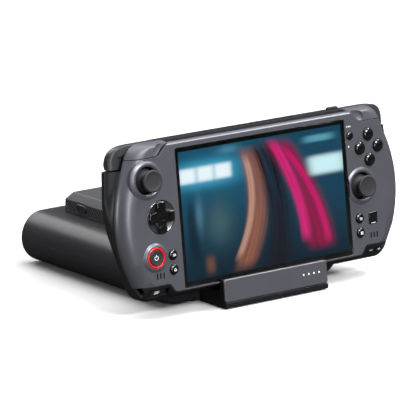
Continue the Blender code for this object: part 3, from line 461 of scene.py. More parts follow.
holes = [turned([(-3.0, STICK_BORE), (8.0, STICK_BORE)], (at.x, at.z), 96)
         for at in (left_stick, right_stick)]
DPAD_HOLE, RING_HOLE, DISC_HOLE = 12.4, 7.95, 5.9
holes.append(turned([(-3.0, DPAD_HOLE), (8.0, DPAD_HOLE)], (dpad_middle.x, dpad_middle.z), 96))
for key in FACE_KEYS + SMALL_KEYS + ("aux_button",):
    low, high = span(key)
    radius = (high.x - low.x) / 2 + 0.2
    holes.append(turned([(-4.0, radius), (8.0, radius)], ((low.x + high.x) / 2, (low.z + high.z) / 2), 48))
holes.append(turned([(-4.0, RING_HOLE), (1.1, RING_HOLE), (1.1, DISC_HOLE), (8.0, DISC_HOLE)],
                    (power_middle.x, power_middle.z), 96))
low, high = span("fingerprint_sensor")
holes.append(stack(low, high, ((-3.0, -0.2), (8.0, -0.2)), 1.2, 6))
SPEAKER_X, SPEAKER_Z, SLOT_PITCH = 99.4, -39.2, 2.9
SLOT_HALF_X, SLOT_HALF_Z, SLOT_CORNER = 0.6, 2.25, 0.55
for side in (-1, 1):
    for k in (-1, 0, 1):
        x = side * SPEAKER_X + k * SLOT_PITCH
        holes.append(prism(rectangle(x - SLOT_HALF_X, x + SLOT_HALF_X, SPEAKER_Z - SLOT_HALF_Z,
                                     SPEAKER_Z + SLOT_HALF_Z, SLOT_CORNER, 6), -3.0, 8.0))
carve(front_shell, joined(holes))
dress(front_shell, gunmetal, "console", ["front_shell"])

# ---------------------------------------------------------------------------------------------
# Rear shell.  A deeper black moulding with a fine spark texture, screwed on from behind; it wraps
# over the top edge and under both heels, and rises in a lip round the foot of each trigger.
spark_black = moulding("spark_black_plastic", (0.010, 0.0105, 0.012), (0.022, 0.023, 0.026), 0.40, 0.08,
                       1900.0, 0.22, round_edge=0.3)


def rear_ring(y, blend, shrink):
    ring = inset([(x0 + (x1 - x0) * blend, z0 + (z1 - z0) * blend)
                  for (x0, z0), (x1, z1) in zip(seam_outline, rear_outline)], shrink)
    return [(x, y, z) for x, z in ring]


DEPTH = 24.5
rear = [rear_ring(SEAM_Y + 0.1, 0.0, 0.25), rear_ring(SEAM_Y + 0.35, 0.0, 0.0)]
for k in range(1, 9):
    t = k / 8
    rear.append(rear_ring(SEAM_Y + 0.35 + 7.15 * t, t * t * (3 - 2 * t), 0.0))
for k in range(1, 10):
    a = math.radians(10 * k)
    rear.append(rear_ring(19.2 + 5.3 * math.sin(a), 1.0, 5.6 * (1 - math.cos(a))))
hollow = [rear_ring(DEPTH - WALL, 1.0, 5.6), rear_ring(20.5, 1.0, WALL + 0.6), rear_ring(17.0, 1.0, WALL),
          rear_ring(13.5, 0.45, WALL), rear_ring(SEAM_Y + 0.1, 0.0, WALL)]
rear_shell = mesh_of("rear_shell_skin", loft(rear[::-1] + hollow[::-1]), console_axes)
LAP = 0.05
lap_outer, lap_inner = ([(x, SEAM_Y + 1.5, z) for x, z in inset(seam_outline, d)] for d in (LAP, WALL - LAP))
for shape in wrap_shapes(0.15) + [block(-WRAP_HALF + 0.15, WRAP_HALF - 0.15, WALL + 1.1, 13.0, 51.3,
                                        WRAP_TOP + 1.0)]:
    wrap = mesh_of("wrap", loft(outer + [lap_outer, lap_inner] + inner), console_axes)
    carve(wrap, shape, "INTERSECT")
    join_piece(rear_shell, wrap)
carve(rear_shell, joined([block(*sorted((side * 86.4, side * 150.0)), 5.0, 30.0, 39.0, 80.0)
                          for side in (-1, 1)]))
keys = [span(n) for n in ("menu_button", "volume_down_button", "volume_up_button")]
pockets = [heel_key(low.x - 1.3, high.x + reach, -3.0, 0.55, 0.0, 3.5)
           for (low, high), reach in zip(keys, (4.5, 1.0, 0.25))]
carve(rear_shell, joined(pockets[:2]))
carve(rear_shell, pockets[2])
carve(rear_shell, joined([heel_key(low.x, high.x, -3.0, 5.0, 0.2) for low, high in keys]))
carve(rear_shell, loft([[(x, y, z) for x, y in rectangle(-119.0, -111.5, 4.4, 8.2, 1.2, 6)]
                        for z in (-70.0, -38.0)]))
vent_low, vent_high = span("top_vent_grille")
carve(rear_shell, block(vent_low.x - 0.2, vent_high.x + 0.2, vent_low.y - 0.2, vent_high.y + 0.2, 50.0, 62.0))
socket_low, socket_high = span("charge_socket")
carve(rear_shell, block(socket_low.x - 0.2, socket_high.x + 0.2, socket_low.y - 0.15, socket_high.y + 0.15,
                        -64.0, -52.0))
fan_middle = middle("fan_rotor")
INTAKE_R, INTAKE_PITCH, INTAKE_HALF = 17.0, 3.7, 0.9
intake = []
for k in range(-4, 5):
    reach = math.sqrt(INTAKE_R ** 2 - (INTAKE_PITCH * k) ** 2)
    x = fan_middle.x + INTAKE_PITCH * k
    intake.append(prism(rectangle(x - INTAKE_HALF, x + INTAKE_HALF, fan_middle.z - reach,
                                  fan_middle.z + reach, 0.85, 6), 20.0, 28.0))
carve(rear_shell, joined(intake))
top_low, top_high = span("top_button")
carve(rear_shell, stack(top_low, top_high, ((54.6, -0.2), (64.0, -0.2)), 1.9, 8, 2))
dress(rear_shell, spark_black, "console", ["rear_shell"])

# ---------------------------------------------------------------------------------------------
# Display.  A sheet of cover glass bonded flush into the front shell, black ink printed round its
# rim, and behind it the colour panel, lit with a picture of soft lights and drifting ribbons.
GLASS_T = 1.2
cover_glass, nodes, shader = new_material("cover_glass")
smears = noise(nodes, nodes.new("ShaderNodeTexCoord").outputs["Object"], 60.0, 4.0)
put(shader, {"Base Color": (1.0, 1.0, 1.0, 1.0), "Transmission Weight": 1.0, "IOR": 1.35,
             "Roughness": scaled(nodes, smears, 0.0, 0.03)})
glass = mesh_of("display_cover_glass", stack(
    glass_low, glass_high, ((0.0, 0.25), (0.25, 0.0), (GLASS_T, 0.0)), 1.4, 6), console_axes)
dress(glass, cover_glass, "console", ["display_glass"])

ink = moulding("rim_ink", (0.0035, 0.0035, 0.004), (0.006, 0.006, 0.007), 0.25, 0.05, 3000.0, 0.02,
               round_edge=0)
ACTIVE_X, ACTIVE_Z = 75.35, 47.1
rim = mesh_of("display_rim_ink", stack(glass_low, glass_high, ((1.22, 0.2), (1.34, 0.2)), 1.2, 6),
              console_axes)
carve(rim, block(-ACTIVE_X, ACTIVE_X, 0.0, 3.0, -ACTIVE_Z, ACTIVE_Z))
dress(rim, ink, "console")

picture, nodes, shader = new_material("lit_picture")
place = nodes.new("ShaderNodeSeparateXYZ")
put(place, {0: nodes.new("ShaderNodeTexCoord").outputs["Object"]})


def blur_spot(x, z, half_x, half_z, sharp=2.0):
    """A soft-edged lit patch of the picture, 1 in its middle, in millimetres from the panel's middle."""
    across = maths(
        "POWER", maths("ABSOLUTE", maths("DIVIDE", maths("SUBTRACT", picture_x, x), half_x)), sharp)
    high_up = maths(
        "POWER", maths("ABSOLUTE", maths("DIVIDE", maths("SUBTRACT", picture_z, z), half_z)), sharp)
    return maths("EXPONENT", maths("MULTIPLY", maths("ADD", across, high_up), -1.0))


picture_x = maths("MULTIPLY", place.outputs["X"], 1000.0)
picture_z = maths("MULTIPLY", place.outputs["Z"], 1000.0)


def ribbon(start, lean, bend, width, low=-60.0, high=60.0):
    """A long soft ribbon along x = start + lean z + bend z z, with fine strands in it."""
    line = maths("MULTIPLY_ADD", maths("MULTIPLY_ADD", picture_z, bend, lean), picture_z, start)
    across = maths("DIVIDE", maths("SUBTRACT", picture_x, line), width)
    body = maths("EXPONENT", maths("MULTIPLY", maths("POWER", maths("ABSOLUTE", across), 4.0), -1.0))
    combed = nodes.new("ShaderNodeCombineXYZ")
    put(combed, {0: maths("MULTIPLY", across, 5.0), 2: maths("MULTIPLY", picture_z, 0.02)})
    strands = maths("MULTIPLY_ADD", noise(nodes, combed.outputs[0], 1.0, 3.0), 1.6, 0.0)
    fades = [maths("SMOOTH_MIN", maths("MAXIMUM", maths("DIVIDE", inside, 8.0), 0.0), 1.0, 0.2)
             for inside in (maths("SUBTRACT", picture_z, low), maths("SUBTRACT", high, picture_z))]
    return maths("MULTIPLY", maths("MULTIPLY", body, strands), maths("MULTIPLY", *fades))


SPOTS = (((0.003, 0.014, 0.026), (0.0, -52.0, 200.0, 38.0)),
         ((0.012, 0.110, 0.190), (-45.0, 28.0, 52.0, 22.0)),
         ((0.012, 0.065, 0.115), (66.0, 34.0, 60.0, 14.0)),
         ((0.002, 0.018, 0.034), (-66.0, -18.0, 5.0, 26.0, 4.0)),
         ((0.060, 0.180, 0.270), (-60.0, 0.0, 3.5, 12.0)),
         ((0.045, 0.110, 0.130), (-42.0, -8.0, 12.0, 15.0)),
         ((0.060, 0.220, 0.330), (-30.0, 43.0, 9.0, 3.0)),
         ((0.060, 0.40, 0.62), (-52.0, 28.5, 30.0, 9.5, 3.0)),
         ((0.84, 0.96, 1.0), (-68.0, 28.5, 8.0, 5.6, 6.0)),
         ((0.84, 0.96, 1.0), (-52.0, 28.5, 8.0, 5.6, 6.0)),
         ((0.84, 0.96, 1.0), (-36.0, 28.5, 8.0, 5.6, 6.0)),
         ((0.10, 0.34, 0.44), (54.0, 40.0, 14.0, 2.6, 4.0)),
         ((0.62, 0.90, 0.95), (60.0, 20.0, 18.0, 7.2, 6.0)),
         ((0.130, 0.065, 0.045), (-53.0, -38.0, 4.2, 6.2, 3.0)))
RIBBONS = (((0.30, 0.115, 0.070), (-6.0, 0.10, -0.006, 9.0, -48.0, 44.0)),
           ((0.55, 0.30, 0.22), (-12.0, 0.16, -0.007, 3.0, -40.0, 38.0)),
           ((0.010, 0.008, 0.014), (12.0, -0.12, -0.004, 11.0, -70.0, 46.0)),
           ((0.30, 0.006, 0.060), (40.0, -0.42, -0.004, 12.0, -44.0, 46.0)),
           ((0.70, 0.020, 0.200), (31.0, -0.30, -0.004, 4.5, -36.0, 46.0)),
           ((0.58, 0.012, 0.140), (46.0, -0.48, -0.005, 3.2, -40.0, 40.0)))
colour = (0.008, 0.055, 0.100)
for paint, shapes in ((blur_spot, SPOTS), (ribbon, RIBBONS)):
    for tone, shape in shapes:
        colour = blend(nodes, paint(*shape), colour, tone)
put(shader, {"Base Color": (0.001, 0.001, 0.001, 1.0), "Roughness": 0.5, "Specular IOR Level": 0.04,
             "Emission Color": colour, "Emission Strength": 1.0})
panel = mesh_of("display_panel", stack(
    panel_low, panel_high, ((panel_low.y, 0.0), (panel_high.y, 0.0)), 0.4, 2), console_axes)
dress(panel, picture, "console", ["lcd_panel"])

# ---------------------------------------------------------------------------------------------
# Bumpers.  Painted caps over the top corners, hinged at their inner ends, where each is scooped
# out for a fingertip.
SCOOP_TILT, SCOOP_RADII = math.radians(40), (5.6, 5.4, 9.5)
SCOOP_X, SCOOP_Y, SCOOP_Z, BUMPER_GAP = 90.5, -2.6, 52.6, 0.25


def ball(radii, segments=48, rows=24):
    rings = []
    for k in range(1, rows):
        tilt = math.pi * k / rows
        rings.append([(radii[0] * math.sin(tilt) * math.cos(2 * math.pi * i / segments),
                       radii[1] * math.sin(tilt) * math.sin(2 * math.pi * i / segments),
                       radii[2] * math.cos(tilt)) for i in range(segments)])
    return loft(rings)


# The bumpers take the gunmetal paint made rougher and darker. The darker colour is painted shade, so their
# upturned tops read no brighter than the face.
bumper_paint_with_painted_shade = moulding("bumper_paint_with_painted_shade", (0.125, 0.127, 0.148), (0.160, 0.163, 0.188), 0.47, 0.05, 2600.0,
                        0.10, metallic=0.40, round_edge=0.45)
for name, side in (("left_bumper", -1), ("right_bumper", 1)):
    bumper = mesh_of(name + "_cap", prism(bumper_region(side, -BUMPER_GAP), -6.0, 14.0), console_axes)
    carve(bumper, loft([front_ring(k / RIM, SEAM_Y - 0.2) for k in range(RIM + 1)]), "INTERSECT")
    points, faces = ball(SCOOP_RADII)
    tilt = Matrix.Rotation(-side * SCOOP_TILT, 3, "Y")
    carve(bumper, ([tuple(tilt @ Vector(p) + Vector((side * SCOOP_X, SCOOP_Y, SCOOP_Z))) for p in points],
                   faces))
    dress(bumper, bumper_paint_with_painted_shade, name, [name])

# ---------------------------------------------------------------------------------------------
# Triggers.  Hollow satin mouldings on a pin behind each bumper; the crown falls away to the side.
trigger_satin = moulding("trigger_satin_plastic", (0.040, 0.041, 0.046), (0.055, 0.056, 0.062), 0.30, 0.05,
                         2200.0, 0.10, round_edge=0.5)
TRIGGER_IN, TRIGGER_OUT, TRIGGER_FLOOR, TRIGGER_TOP = 87.0, 126.85, 40.0, 56.95
TRIGGER_BEND, TRIGGER_FRONT, TRIGGER_DEPTH = 104.0, 12.0, 10.42


def trigger_ring(side, x):
    """The trigger's section at x; its crown falls away, and its front draws back, towards the outer end."""
    out = max(0.0, (x - TRIGGER_BEND) / (TRIGGER_OUT + 0.3 - TRIGGER_BEND))
    h = (TRIGGER_TOP - TRIGGER_FLOOR) * (1 - out ** 3.4) ** (1 / 3.4)
    d = TRIGGER_DEPTH * (1 - 0.2 * out ** 4)
    front = TRIGGER_FRONT + 4.0 * out ** 4
    section = [(max(14.2, front), 0.0), (max(14.2, front), 0.45), (front, 0.60), (front, 0.88),
               (front + 0.35, 0.96), (front + 1.4, 1.0)]
    for k in range(13):
        a = math.radians(90 - 7.5 * k)
        section.append((TRIGGER_FRONT + d * (0.55 + 0.58 * math.cos(a) ** 0.9),
                        0.5 + 0.5 * math.sin(a) ** 0.7))
    section += [(TRIGGER_FRONT + 1.08 * d, 0.24), (TRIGGER_FRONT + 0.92 * d, 0.0)]
    return [(side * x, y, TRIGGER_FLOOR + h * k) for y, k in section]


for name, side in (("left_trigger", -1), ("right_trigger", 1)):
    stations = [TRIGGER_IN, TRIGGER_IN + 0.6, 92.0, 98.0, TRIGGER_BEND]
    stations += [TRIGGER_BEND + (TRIGGER_OUT - TRIGGER_BEND) * math.sin(math.radians(4.5 * k))
                 for k in range(1, 21)]
    trigger = mesh_of(name + "_lever", loft([trigger_ring(side, x) for x in stations]), console_axes)
    dress(trigger, trigger_satin, name, [name])

# ---------------------------------------------------------------------------------------------
# Sticks.  Moulded rubber caps with a dished top on a domed skirt that keeps dust out of the well.
stick_rubber = moulding("stick_rubber", (0.022, 0.022, 0.024), (0.040, 0.040, 0.043), 0.58, 0.08, 1500.0,
                        0.25, round_edge=0)
stick_profile = [(-7.35, 0.6), (-7.4, 3.6), (-7.6, 5.8), (-7.9, 6.6), (-8.0, 7.0), (-7.97, 7.35), (-7.8, 7.8),
                 (-7.4, 8.12), (-6.8, 8.25), (-6.2, 8.15), (-5.95, 7.9), (-5.85, 7.5), (-5.7, 4.6),
                 (-5.2, 3.85), (-3.0, 3.6)]
stick_profile += [(6.5 - 9.5 * math.cos(math.radians(a)), 9.5 * math.sin(math.radians(a)))
                  for a in range(25, 91, 5)]
stick_profile += [(7.5, 2.0), (15.9, 1.7)]
for name, at in (("left_stick", left_stick), ("right_stick", right_stick)):
    cap = mesh_of(name + "_cap", turned(stick_profile, (at.x, at.z), 96), console_axes)
    dress(cap, stick_rubber, name, [name], 40.0)

# ---------------------------------------------------------------------------------------------
# Direction pad.  A polished black cross whose arms rise from a dished disc, tilting as one piece.
piano_black = moulding("piano_black", (0.003, 0.003, 0.0035), (0.005, 0.005, 0.006), 0.08, 0.02, 900.0, 0.012,
                       coat=0.8, round_edge=0.3)
dish_metal = moulding("dish_metal", (0.20, 0.20, 0.22), (0.26, 0.26, 0.28), 0.20, 0.05, 2000.0, 0.03,
                      metallic=0.9, round_edge=0.2)
DISH_R, ARM, ARM_REACH = 11.85, 8.0, 11.5
dish_profile = [(2.35, 0.5), (2.3, 2.5), (2.05, 5.0), (1.55, 7.5), (0.95, 9.5), (0.45, 11.0), (0.2, 11.6),
                (0.3, DISH_R), (2.8, DISH_R), (2.8, 1.0)]
dish = mesh_of("dpad_dish", turned(dish_profile, (dpad_middle.x, dpad_middle.z), 96), console_axes)
dress(dish, dish_metal, "dpad")


def cross_ring(y, shrink):
    """The cross's outline at depth y: four arms with rounded ends, drawn in by shrink."""
    half, reach, ring = ARM / 2 - shrink, ARM_REACH - shrink, []
    end = math.asin(half / reach)
    for arm in range(4):
        quarter = math.pi / 2 * arm
        ring += [(reach, quarter - end + 2 * end * k / 12) for k in range(13)]
        ring += [(half * math.sqrt(2) + 0.30 * abs(k), quarter + math.pi / 4 + 0.09 * k) for k in (-1, 0, 1)]
    return [(dpad_middle.x + r * math.cos(a), y, dpad_middle.z + r * math.sin(a)) for r, a in ring]


steps = ((-1.6, 1.7), (-1.56, 1.1), (-1.4, 0.6), (-1.1, 0.22), (-0.6, 0.0), (2.5, 0.0))
arms = mesh_of("dpad_cross", loft([cross_ring(y, s) for y, s in steps]), console_axes)
carve(arms, turned([(-4.0, 6.2), (-1.6, 4.4), (-0.8, 3.0), (-0.45, 1.2), (-0.45, 0.2)],
                   (dpad_middle.x, dpad_middle.z), 64))
for k in range(4):
    a = math.pi / 2 * k
    along, across = Vector((math.cos(a), math.sin(a))), Vector((-math.sin(a), math.cos(a)))
    tip = Vector((dpad_middle.x, dpad_middle.z)) + along * 6.2
    tent = [tip - across * 4.6 + along * 1.2, tip, tip + across * 4.6 + along * 1.2,
            tip + across * 4.6 - along * 9.0, tip - across * 4.6 - along * 9.0]
    carve(arms, prism([(p.x, p.y) for p in tent], -3.0, -0.95))
dress(arms, piano_black, "dpad", ["dpad"])

# ---------------------------------------------------------------------------------------------
# Keys on the face.  Domed piano-black caps, the small ones with a white symbol printed on the crown.
# White print for the symbols. Its faint emission is a painted glow, not a light. The lamp copy below glows
# brighter and serves the real lamps.
print_with_painted_glow, nodes, shader = new_material("print_with_painted_glow")
speckle = noise(nodes, nodes.new("ShaderNodeTexCoord").outputs["Object"], 5200.0, 2.0)
print_tone_and_painted_glow = blend(nodes, speckle, (0.62, 0.63, 0.66), (0.86, 0.87, 0.90))
put(shader, {"Base Color": print_tone_and_painted_glow, "Emission Color": print_tone_and_painted_glow, "Emission Strength": 0.55,
             "Roughness": scaled(nodes, speckle, 0.35, 0.5)})
lamp_white = print_with_painted_glow.copy()
lamp_white.name = "lamp_white"
put(lamp_white.node_tree.nodes["Principled BSDF"], {"Emission Strength": 1.1})


def domed_key(node, rise, body):
    """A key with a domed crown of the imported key's radius; returns its middle and radius."""
    low, high = span(node)
    radius, at = (high.x - low.x) / 2, (low + high) / 2
    crown = [(-rise + rise * 0.92 * (1 - math.cos(math.radians(a))), radius * math.sin(math.radians(a)))
             for a in range(4, 89, 6)]
    made = mesh_of(node + "_cap", turned(crown + [(0.1, radius), (high.y, radius)], (at.x, at.z), 72),
                   console_axes)
    dress(made, piano_black, body, [node], 50.0)
    return at, radius


def symbol(name, bars, body, y, look=print_with_painted_glow):
    """Flat bars (x0, x1, z0, z1) of print, 0.08 mm proud of y; the white print carries a faint painted glow.
    """
    made = mesh_of(name, joined([block(x0, x1, y - 0.08, y + 0.5, z0, z1) for x0, x1, z0, z1 in bars]),
                   console_axes)
    return dress(made, look, body)


for key in FACE_KEYS:
    domed_key(key, 2.4, key)
marks = {"view_button": [(-1.5, 0.5, 0.4, 1.0), (-1.5, 0.5, -0.9, -0.3), (0.9, 1.5, -0.9, 1.0)],
         "home_button": [(-1.2, 1.2, -1.2, -0.6), (-1.2, -0.6, -0.6, 0.7), (0.6, 1.2, -0.6, 0.7),
                         (-0.6, 0.6, 0.7, 1.3)],
         "options_button": [(-1.4, 1.4, 0.7, 1.1), (-1.4, 1.4, -0.2, 0.2), (-1.4, 1.4, -1.1, -0.7)],
         "library_button": [(-1.3, -0.2, 0.2, 1.3), (0.2, 1.3, 0.2, 1.3), (-1.3, -0.2, -1.3, -0.2),
                            (0.2, 1.3, -1.3, -0.2)]}
for key in SMALL_KEYS:
    at, radius = domed_key(key, 1.7, key)
    bars = [tuple(m + 0.85 * v for m, v in zip((at.x, at.x, at.z, at.z), bar)) for bar in marks[key]]
    symbol(key + "_symbol", bars, key, -1.62)
domed_key("aux_button", 1.4, "aux_button")
aux = middle("aux_button")
symbol("status_lamp", [(aux.x - 2.2, aux.x - 1.4, aux.z - 8.4, aux.z - 7.2)], "console", 0.02, lamp_white)
dots = [(aux.x - 2.6 + 1.5 * k, aux.x - 1.7 + 1.5 * k, aux.z + 6.6, aux.z + 7.5) for k in range(3)]
symbol("microphone_marks", dots, "console", 0.02)

# ---------------------------------------------------------------------------------------------
# Power key.  A painted disc inside a clear red light ring, its symbol lit white.
disc_paint = moulding("disc_paint", (0.045, 0.046, 0.053), (0.065, 0.066, 0.075), 0.34, 0.05, 2400.0, 0.08,
                      metallic=0.3, round_edge=0.15)
low, high = span("power_button")
POWER_R = (high.x - low.x) / 2
disc_profile = [(-1.05, 0.4), (-1.05, 2.6), (-1.2, 4.2), (-1.45, 5.0), (-1.5, 5.3), (-1.4, 5.55),
                (-1.15, POWER_R), (high.y, POWER_R)]
disc = mesh_of("power_key", turned(disc_profile, (power_middle.x, power_middle.z), 96), console_axes)
dress(disc, disc_paint, "power_button", ["power_button"], 50.0)
ring_red = moulding("ring_red", (0.70, 0.016, 0.020), (0.84, 0.030, 0.034), 0.24, 0.05, 1200.0, 0.03,
                    coat=0.3, round_edge=0)
put(ring_red.node_tree.nodes["Principled BSDF"],
    {"Emission Color": (0.9, 0.02, 0.03, 1.0), "Emission Strength": 0.12})
ring_profile = [(0.8, 6.15), (-1.15, 6.15), (-1.42, 6.35), (-1.55, 6.9), (-1.45, 7.35), (-1.1, 7.7),
                (0.8, 7.75)]
angles = [2 * math.pi * i / 96 for i in range(96)]
rings = [[(power_middle.x + r * math.cos(a), y, power_middle.z + r * math.sin(a)) for a in angles]
         for y, r in ring_profile]
points, faces = loft(rings)
faces = faces[2:] + [[i, (i + 1) % 96, 6 * 96 + (i + 1) % 96, 6 * 96 + i] for i in range(96)]
ring = mesh_of("power_light_ring", (points, faces), console_axes)
dress(ring, ring_red, "console", ["power_ring"], 50.0)
ARC_OUT, ARC_IN = 1.75, 1.38
arc = [math.radians(90 + 38 + 284 * k / 28) for k in range(29)]
stroke = [(power_middle.x + ARC_OUT * math.cos(a), power_middle.z + ARC_OUT * math.sin(a)) for a in arc]
stroke += [(power_middle.x + ARC_IN * math.cos(a), power_middle.z + ARC_IN * math.sin(a)) for a in arc[::-1]]
power_mark = mesh_of("power_symbol", joined([
    prism(stroke, -1.16, -0.9),
    block(power_middle.x - 0.2, power_middle.x + 0.2, -1.16, -0.9,
          power_middle.z + 0.45, power_middle.z + 2.15)]), console_axes)
dress(power_mark, lamp_white, "power_button")

# ---------------------------------------------------------------------------------------------
# Fingerprint sensor, a glossy black tile set flush between the small keys and the grille.
low, high = span("fingerprint_sensor")
tile = mesh_of("sensor_tile", stack(
    low, high, ((-0.1, 1.2), (-0.12, 1.0), (-0.5, 0.55), (-0.42, 0.2), (-0.15, 0.0), (high.y, 0.0)), 1.1, 8),
    console_axes)
dress(tile, piano_black, "console", ["fingerprint_sensor"], 45.0)

# ---------------------------------------------------------------------------------------------
# Heel keys.  The menu key under the left grip and the two volume keys under the right one.
key_satin = moulding("key_satin_plastic", (0.020, 0.0205, 0.023), (0.032, 0.033, 0.036), 0.28, 0.05, 1800.0,
                     0.08, round_edge=0.45)
for node in ("menu_button", "volume_down_button", "volume_up_button"):
    low, high = span(node)
    made = mesh_of(node + "_cap", heel_key(low.x, high.x, -0.35, 3.6, 0.0), console_axes)
    dress(made, key_satin, node, [node])


def on_heel(name, bars, body):
    """Print on the heel keys, white with a faint painted glow: bars (x0, x1, low, high) measured up the
    slope.
    """
    shapes = []
    for x0, x1, low_edge, high_edge in bars:
        corners = [Vector((HEEL_Y, HEEL_Z)) + up_heel * u + into_heel * v for u, v in
                   ((low_edge, -0.43), (high_edge, -0.43), (high_edge, -0.2), (low_edge, -0.2))]
        shapes.append(loft([[(x, c.x, c.y) for c in corners] for x in (x0, x1)]))
    dress(mesh_of(name, joined(shapes), console_axes), print_with_painted_glow, body)


at = middle("menu_button")
on_heel("menu_symbol", [(at.x - 2.0, at.x + 2.0, h - 0.22, h + 0.22) for h in (-1.1, 0.0, 1.1)],
        "menu_button")
at = middle("volume_up_button")
on_heel("volume_up_symbol", [(at.x - 1.3, at.x - 0.22, -0.22, 0.22), (at.x + 0.22, at.x + 1.3, -0.22, 0.22),
                             (at.x - 0.22, at.x + 0.22, -1.3, 1.3)], "volume_up_button")
at = middle("volume_down_button")
on_heel("volume_down_symbol", [(at.x - 1.3, at.x + 1.3, -0.22, 0.22)], "volume_down_button")

# ---------------------------------------------------------------------------------------------
# Top edge.  The slotted vent grille over the cooler, and the key beside the bumper.
vent = mesh_of("vent_grille_bars", block(vent_low.x, vent_high.x, vent_low.y, vent_high.y, 55.2,
                                         TOP_Z - 0.25), console_axes)
SLOTS = 14
carve(vent, joined([loft([[(x, y, z) for x, y in rectangle(
    vent_low.x + 2.2 + 6.0 * k, vent_low.x + 5.8 + 6.0 * k, vent_low.y + 1.2, vent_high.y - 1.2, 1.2, 6)]
    for z in (50.0, 62.0)]) for k in range(SLOTS)]))
dress(vent, spark_black, "console", ["top_vent_grille"])
top_key = mesh_of("top_key_cap", stack(
    top_low, top_high, ((53.6, 0.0), (TOP_Z + 1.3, 0.0), (TOP_Z + 1.75, 0.25), (TOP_Z + 2.0, 0.8)),
    1.7, 8, 2, 1.0), console_axes)
dress(top_key, spark_black, "top_button", ["top_button"], 50.0)

# ---------------------------------------------------------------------------------------------
# Dock.  Two satin half-round shells, parted along the middle of the flank.
dock_satin = moulding("dock_satin_plastic", (0.030, 0.0305, 0.035), (0.042, 0.0425, 0.048), 0.34, 0.05,
                      2300.0, 0.12, round_edge=0.25)
DOCK_FLOOR, DOCK_R, DOCK_ARC_X, DOCK_BACK, DOCK_FRONT_DEPTH = 0.8, 19.48, 69.6, 100.3, 25.4
NOSE_R, TAIL_R, EDGE_R, DOCK_WALL = 9.0, 3.0, 3.0, 2.4


def leaned(y, z):
    point = console_axes @ (Vector((0.0, y, z)) * MM)
    return (point.y / MM, point.z / MM)


def at_height(depth, height):
    """Where the plane this deep behind the console's face crosses a height, as the room's (y, z)."""
    z = (height - display.z / MM + depth * math.sin(LEAN)) / math.cos(LEAN)
    return leaned(depth, z)


def dock_ring(angle, shrink=0.0):
    z = DOCK_FLOOR + DOCK_R + (DOCK_R - shrink) * math.sin(angle)
    x = DOCK_ARC_X + (DOCK_R - shrink) * math.cos(angle)
    over = max(0.0, abs(z - DOCK_FLOOR - DOCK_R) - (DOCK_R - shrink - EDGE_R))
    ease = EDGE_R - math.sqrt(max(0.0, EDGE_R ** 2 - over ** 2)) + shrink
    front, back, nose = at_height(DOCK_FRONT_DEPTH, z)[0] + ease, DOCK_BACK - ease, NOSE_R - 0.5 * shrink
    return [(px, py, z) for px, py in rounded([(-x, front, nose, 14), (x, front, nose, 14),
                                               (x, back, TAIL_R, 8), (-x, back, TAIL_R, 8)])]


halves = {}
for name, sign in (("dock_upper_shell", 1), ("dock_base", -1)):
    edge = DOCK_FLOOR + DOCK_R + sign * 0.12
    turns = [math.radians(90 - 4 * k) for k in range(22)]
    skin = [dock_ring(sign * a) for a in turns]
    skin.append([(x, y, edge) for x, y, _ in dock_ring(0.0)])
    skin.append([(x, y, edge) for x, y, _ in dock_ring(0.0, DOCK_WALL)])
    skin += [dock_ring(sign * a, DOCK_WALL) for a in turns[::-3]]
    halves[name] = mesh_of(name + "_skin", loft(skin), room_axes)
inlet_low, inlet_high = span("mains_inlet", room_axes)
carve(halves["dock_base"], block(inlet_low.x - 0.2, inlet_high.x + 0.2, DOCK_BACK - 6.0, DOCK_BACK + 4.0,
                                 inlet_low.z - 0.2, inlet_high.z + 0.2))
contact_low, contact_high = span("pack_connector", room_axes)
carve(halves["dock_upper_shell"], block(contact_low.x - 0.2, contact_high.x + 0.2, contact_low.y - 0.2,
                                        contact_high.y + 0.2, 32.0, 44.0))
for foot in ("left_foot", "right_foot"):
    low, high = span(foot, room_axes)
    carve(halves["dock_base"], stack(low, high, ((-3.0, -0.3), (2.4, -0.3)), 5.1, 10, 2))
for name, half_shell in halves.items():
    dress(half_shell, dock_satin, "dock", [name])

# ---------------------------------------------------------------------------------------------
# Cradle.  A black arm from the dock's nose with a seat and a lip; a painted plate faces the lip and
# four light pips show the charge through it.
cradle_black = moulding("cradle_black_plastic", (0.009, 0.0095, 0.011), (0.016, 0.0165, 0.019), 0.30, 0.05,
                        2000.0, 0.10, round_edge=0.5)
LIP_FRONT, PLATE_BACK, LIP_BACK, LIP_TOP, SEAT, CRADLE_HALF = -6.0, -4.4, -0.6, -49.7, BOTTOM_Z - 0.3, 47.5
lip_profile = [at_height(LIP_FRONT + 1.2, DOCK_FLOOR), at_height(LIP_FRONT + 0.3, DOCK_FLOOR + 0.35),
               at_height(LIP_FRONT, DOCK_FLOOR + 1.3), leaned(LIP_FRONT, -67.1),
               leaned(PLATE_BACK + 0.2, -67.1), leaned(PLATE_BACK + 0.2, LIP_TOP - 0.9),
               leaned(PLATE_BACK + 0.45, LIP_TOP - 0.35),
               leaned(PLATE_BACK + 1.0, LIP_TOP - 0.1), leaned(LIP_BACK - 0.8, LIP_TOP - 0.1),
               leaned(LIP_BACK - 0.2, LIP_TOP - 0.35), leaned(LIP_BACK, LIP_TOP - 0.9),
               leaned(LIP_BACK, -53.4), leaned(1.4, SEAT), leaned(DOCK_FRONT_DEPTH - 0.3, SEAT),
               at_height(DOCK_FRONT_DEPTH - 0.3, DOCK_FLOOR)]
cradle = mesh_of("cradle_arm", loft([[(x, y, z) for y, z in lip_profile]
                                     for x in (-CRADLE_HALF, CRADLE_HALF)]), room_axes)


def leaned_block(x0, x1, y0, y1, z0, z1):
    corners = [leaned(y0, z0), leaned(y1, z0), leaned(y1, z1), leaned(y0, z1)]
    return loft([[(x, y, z) for y, z in corners] for x in (x0, x1)])


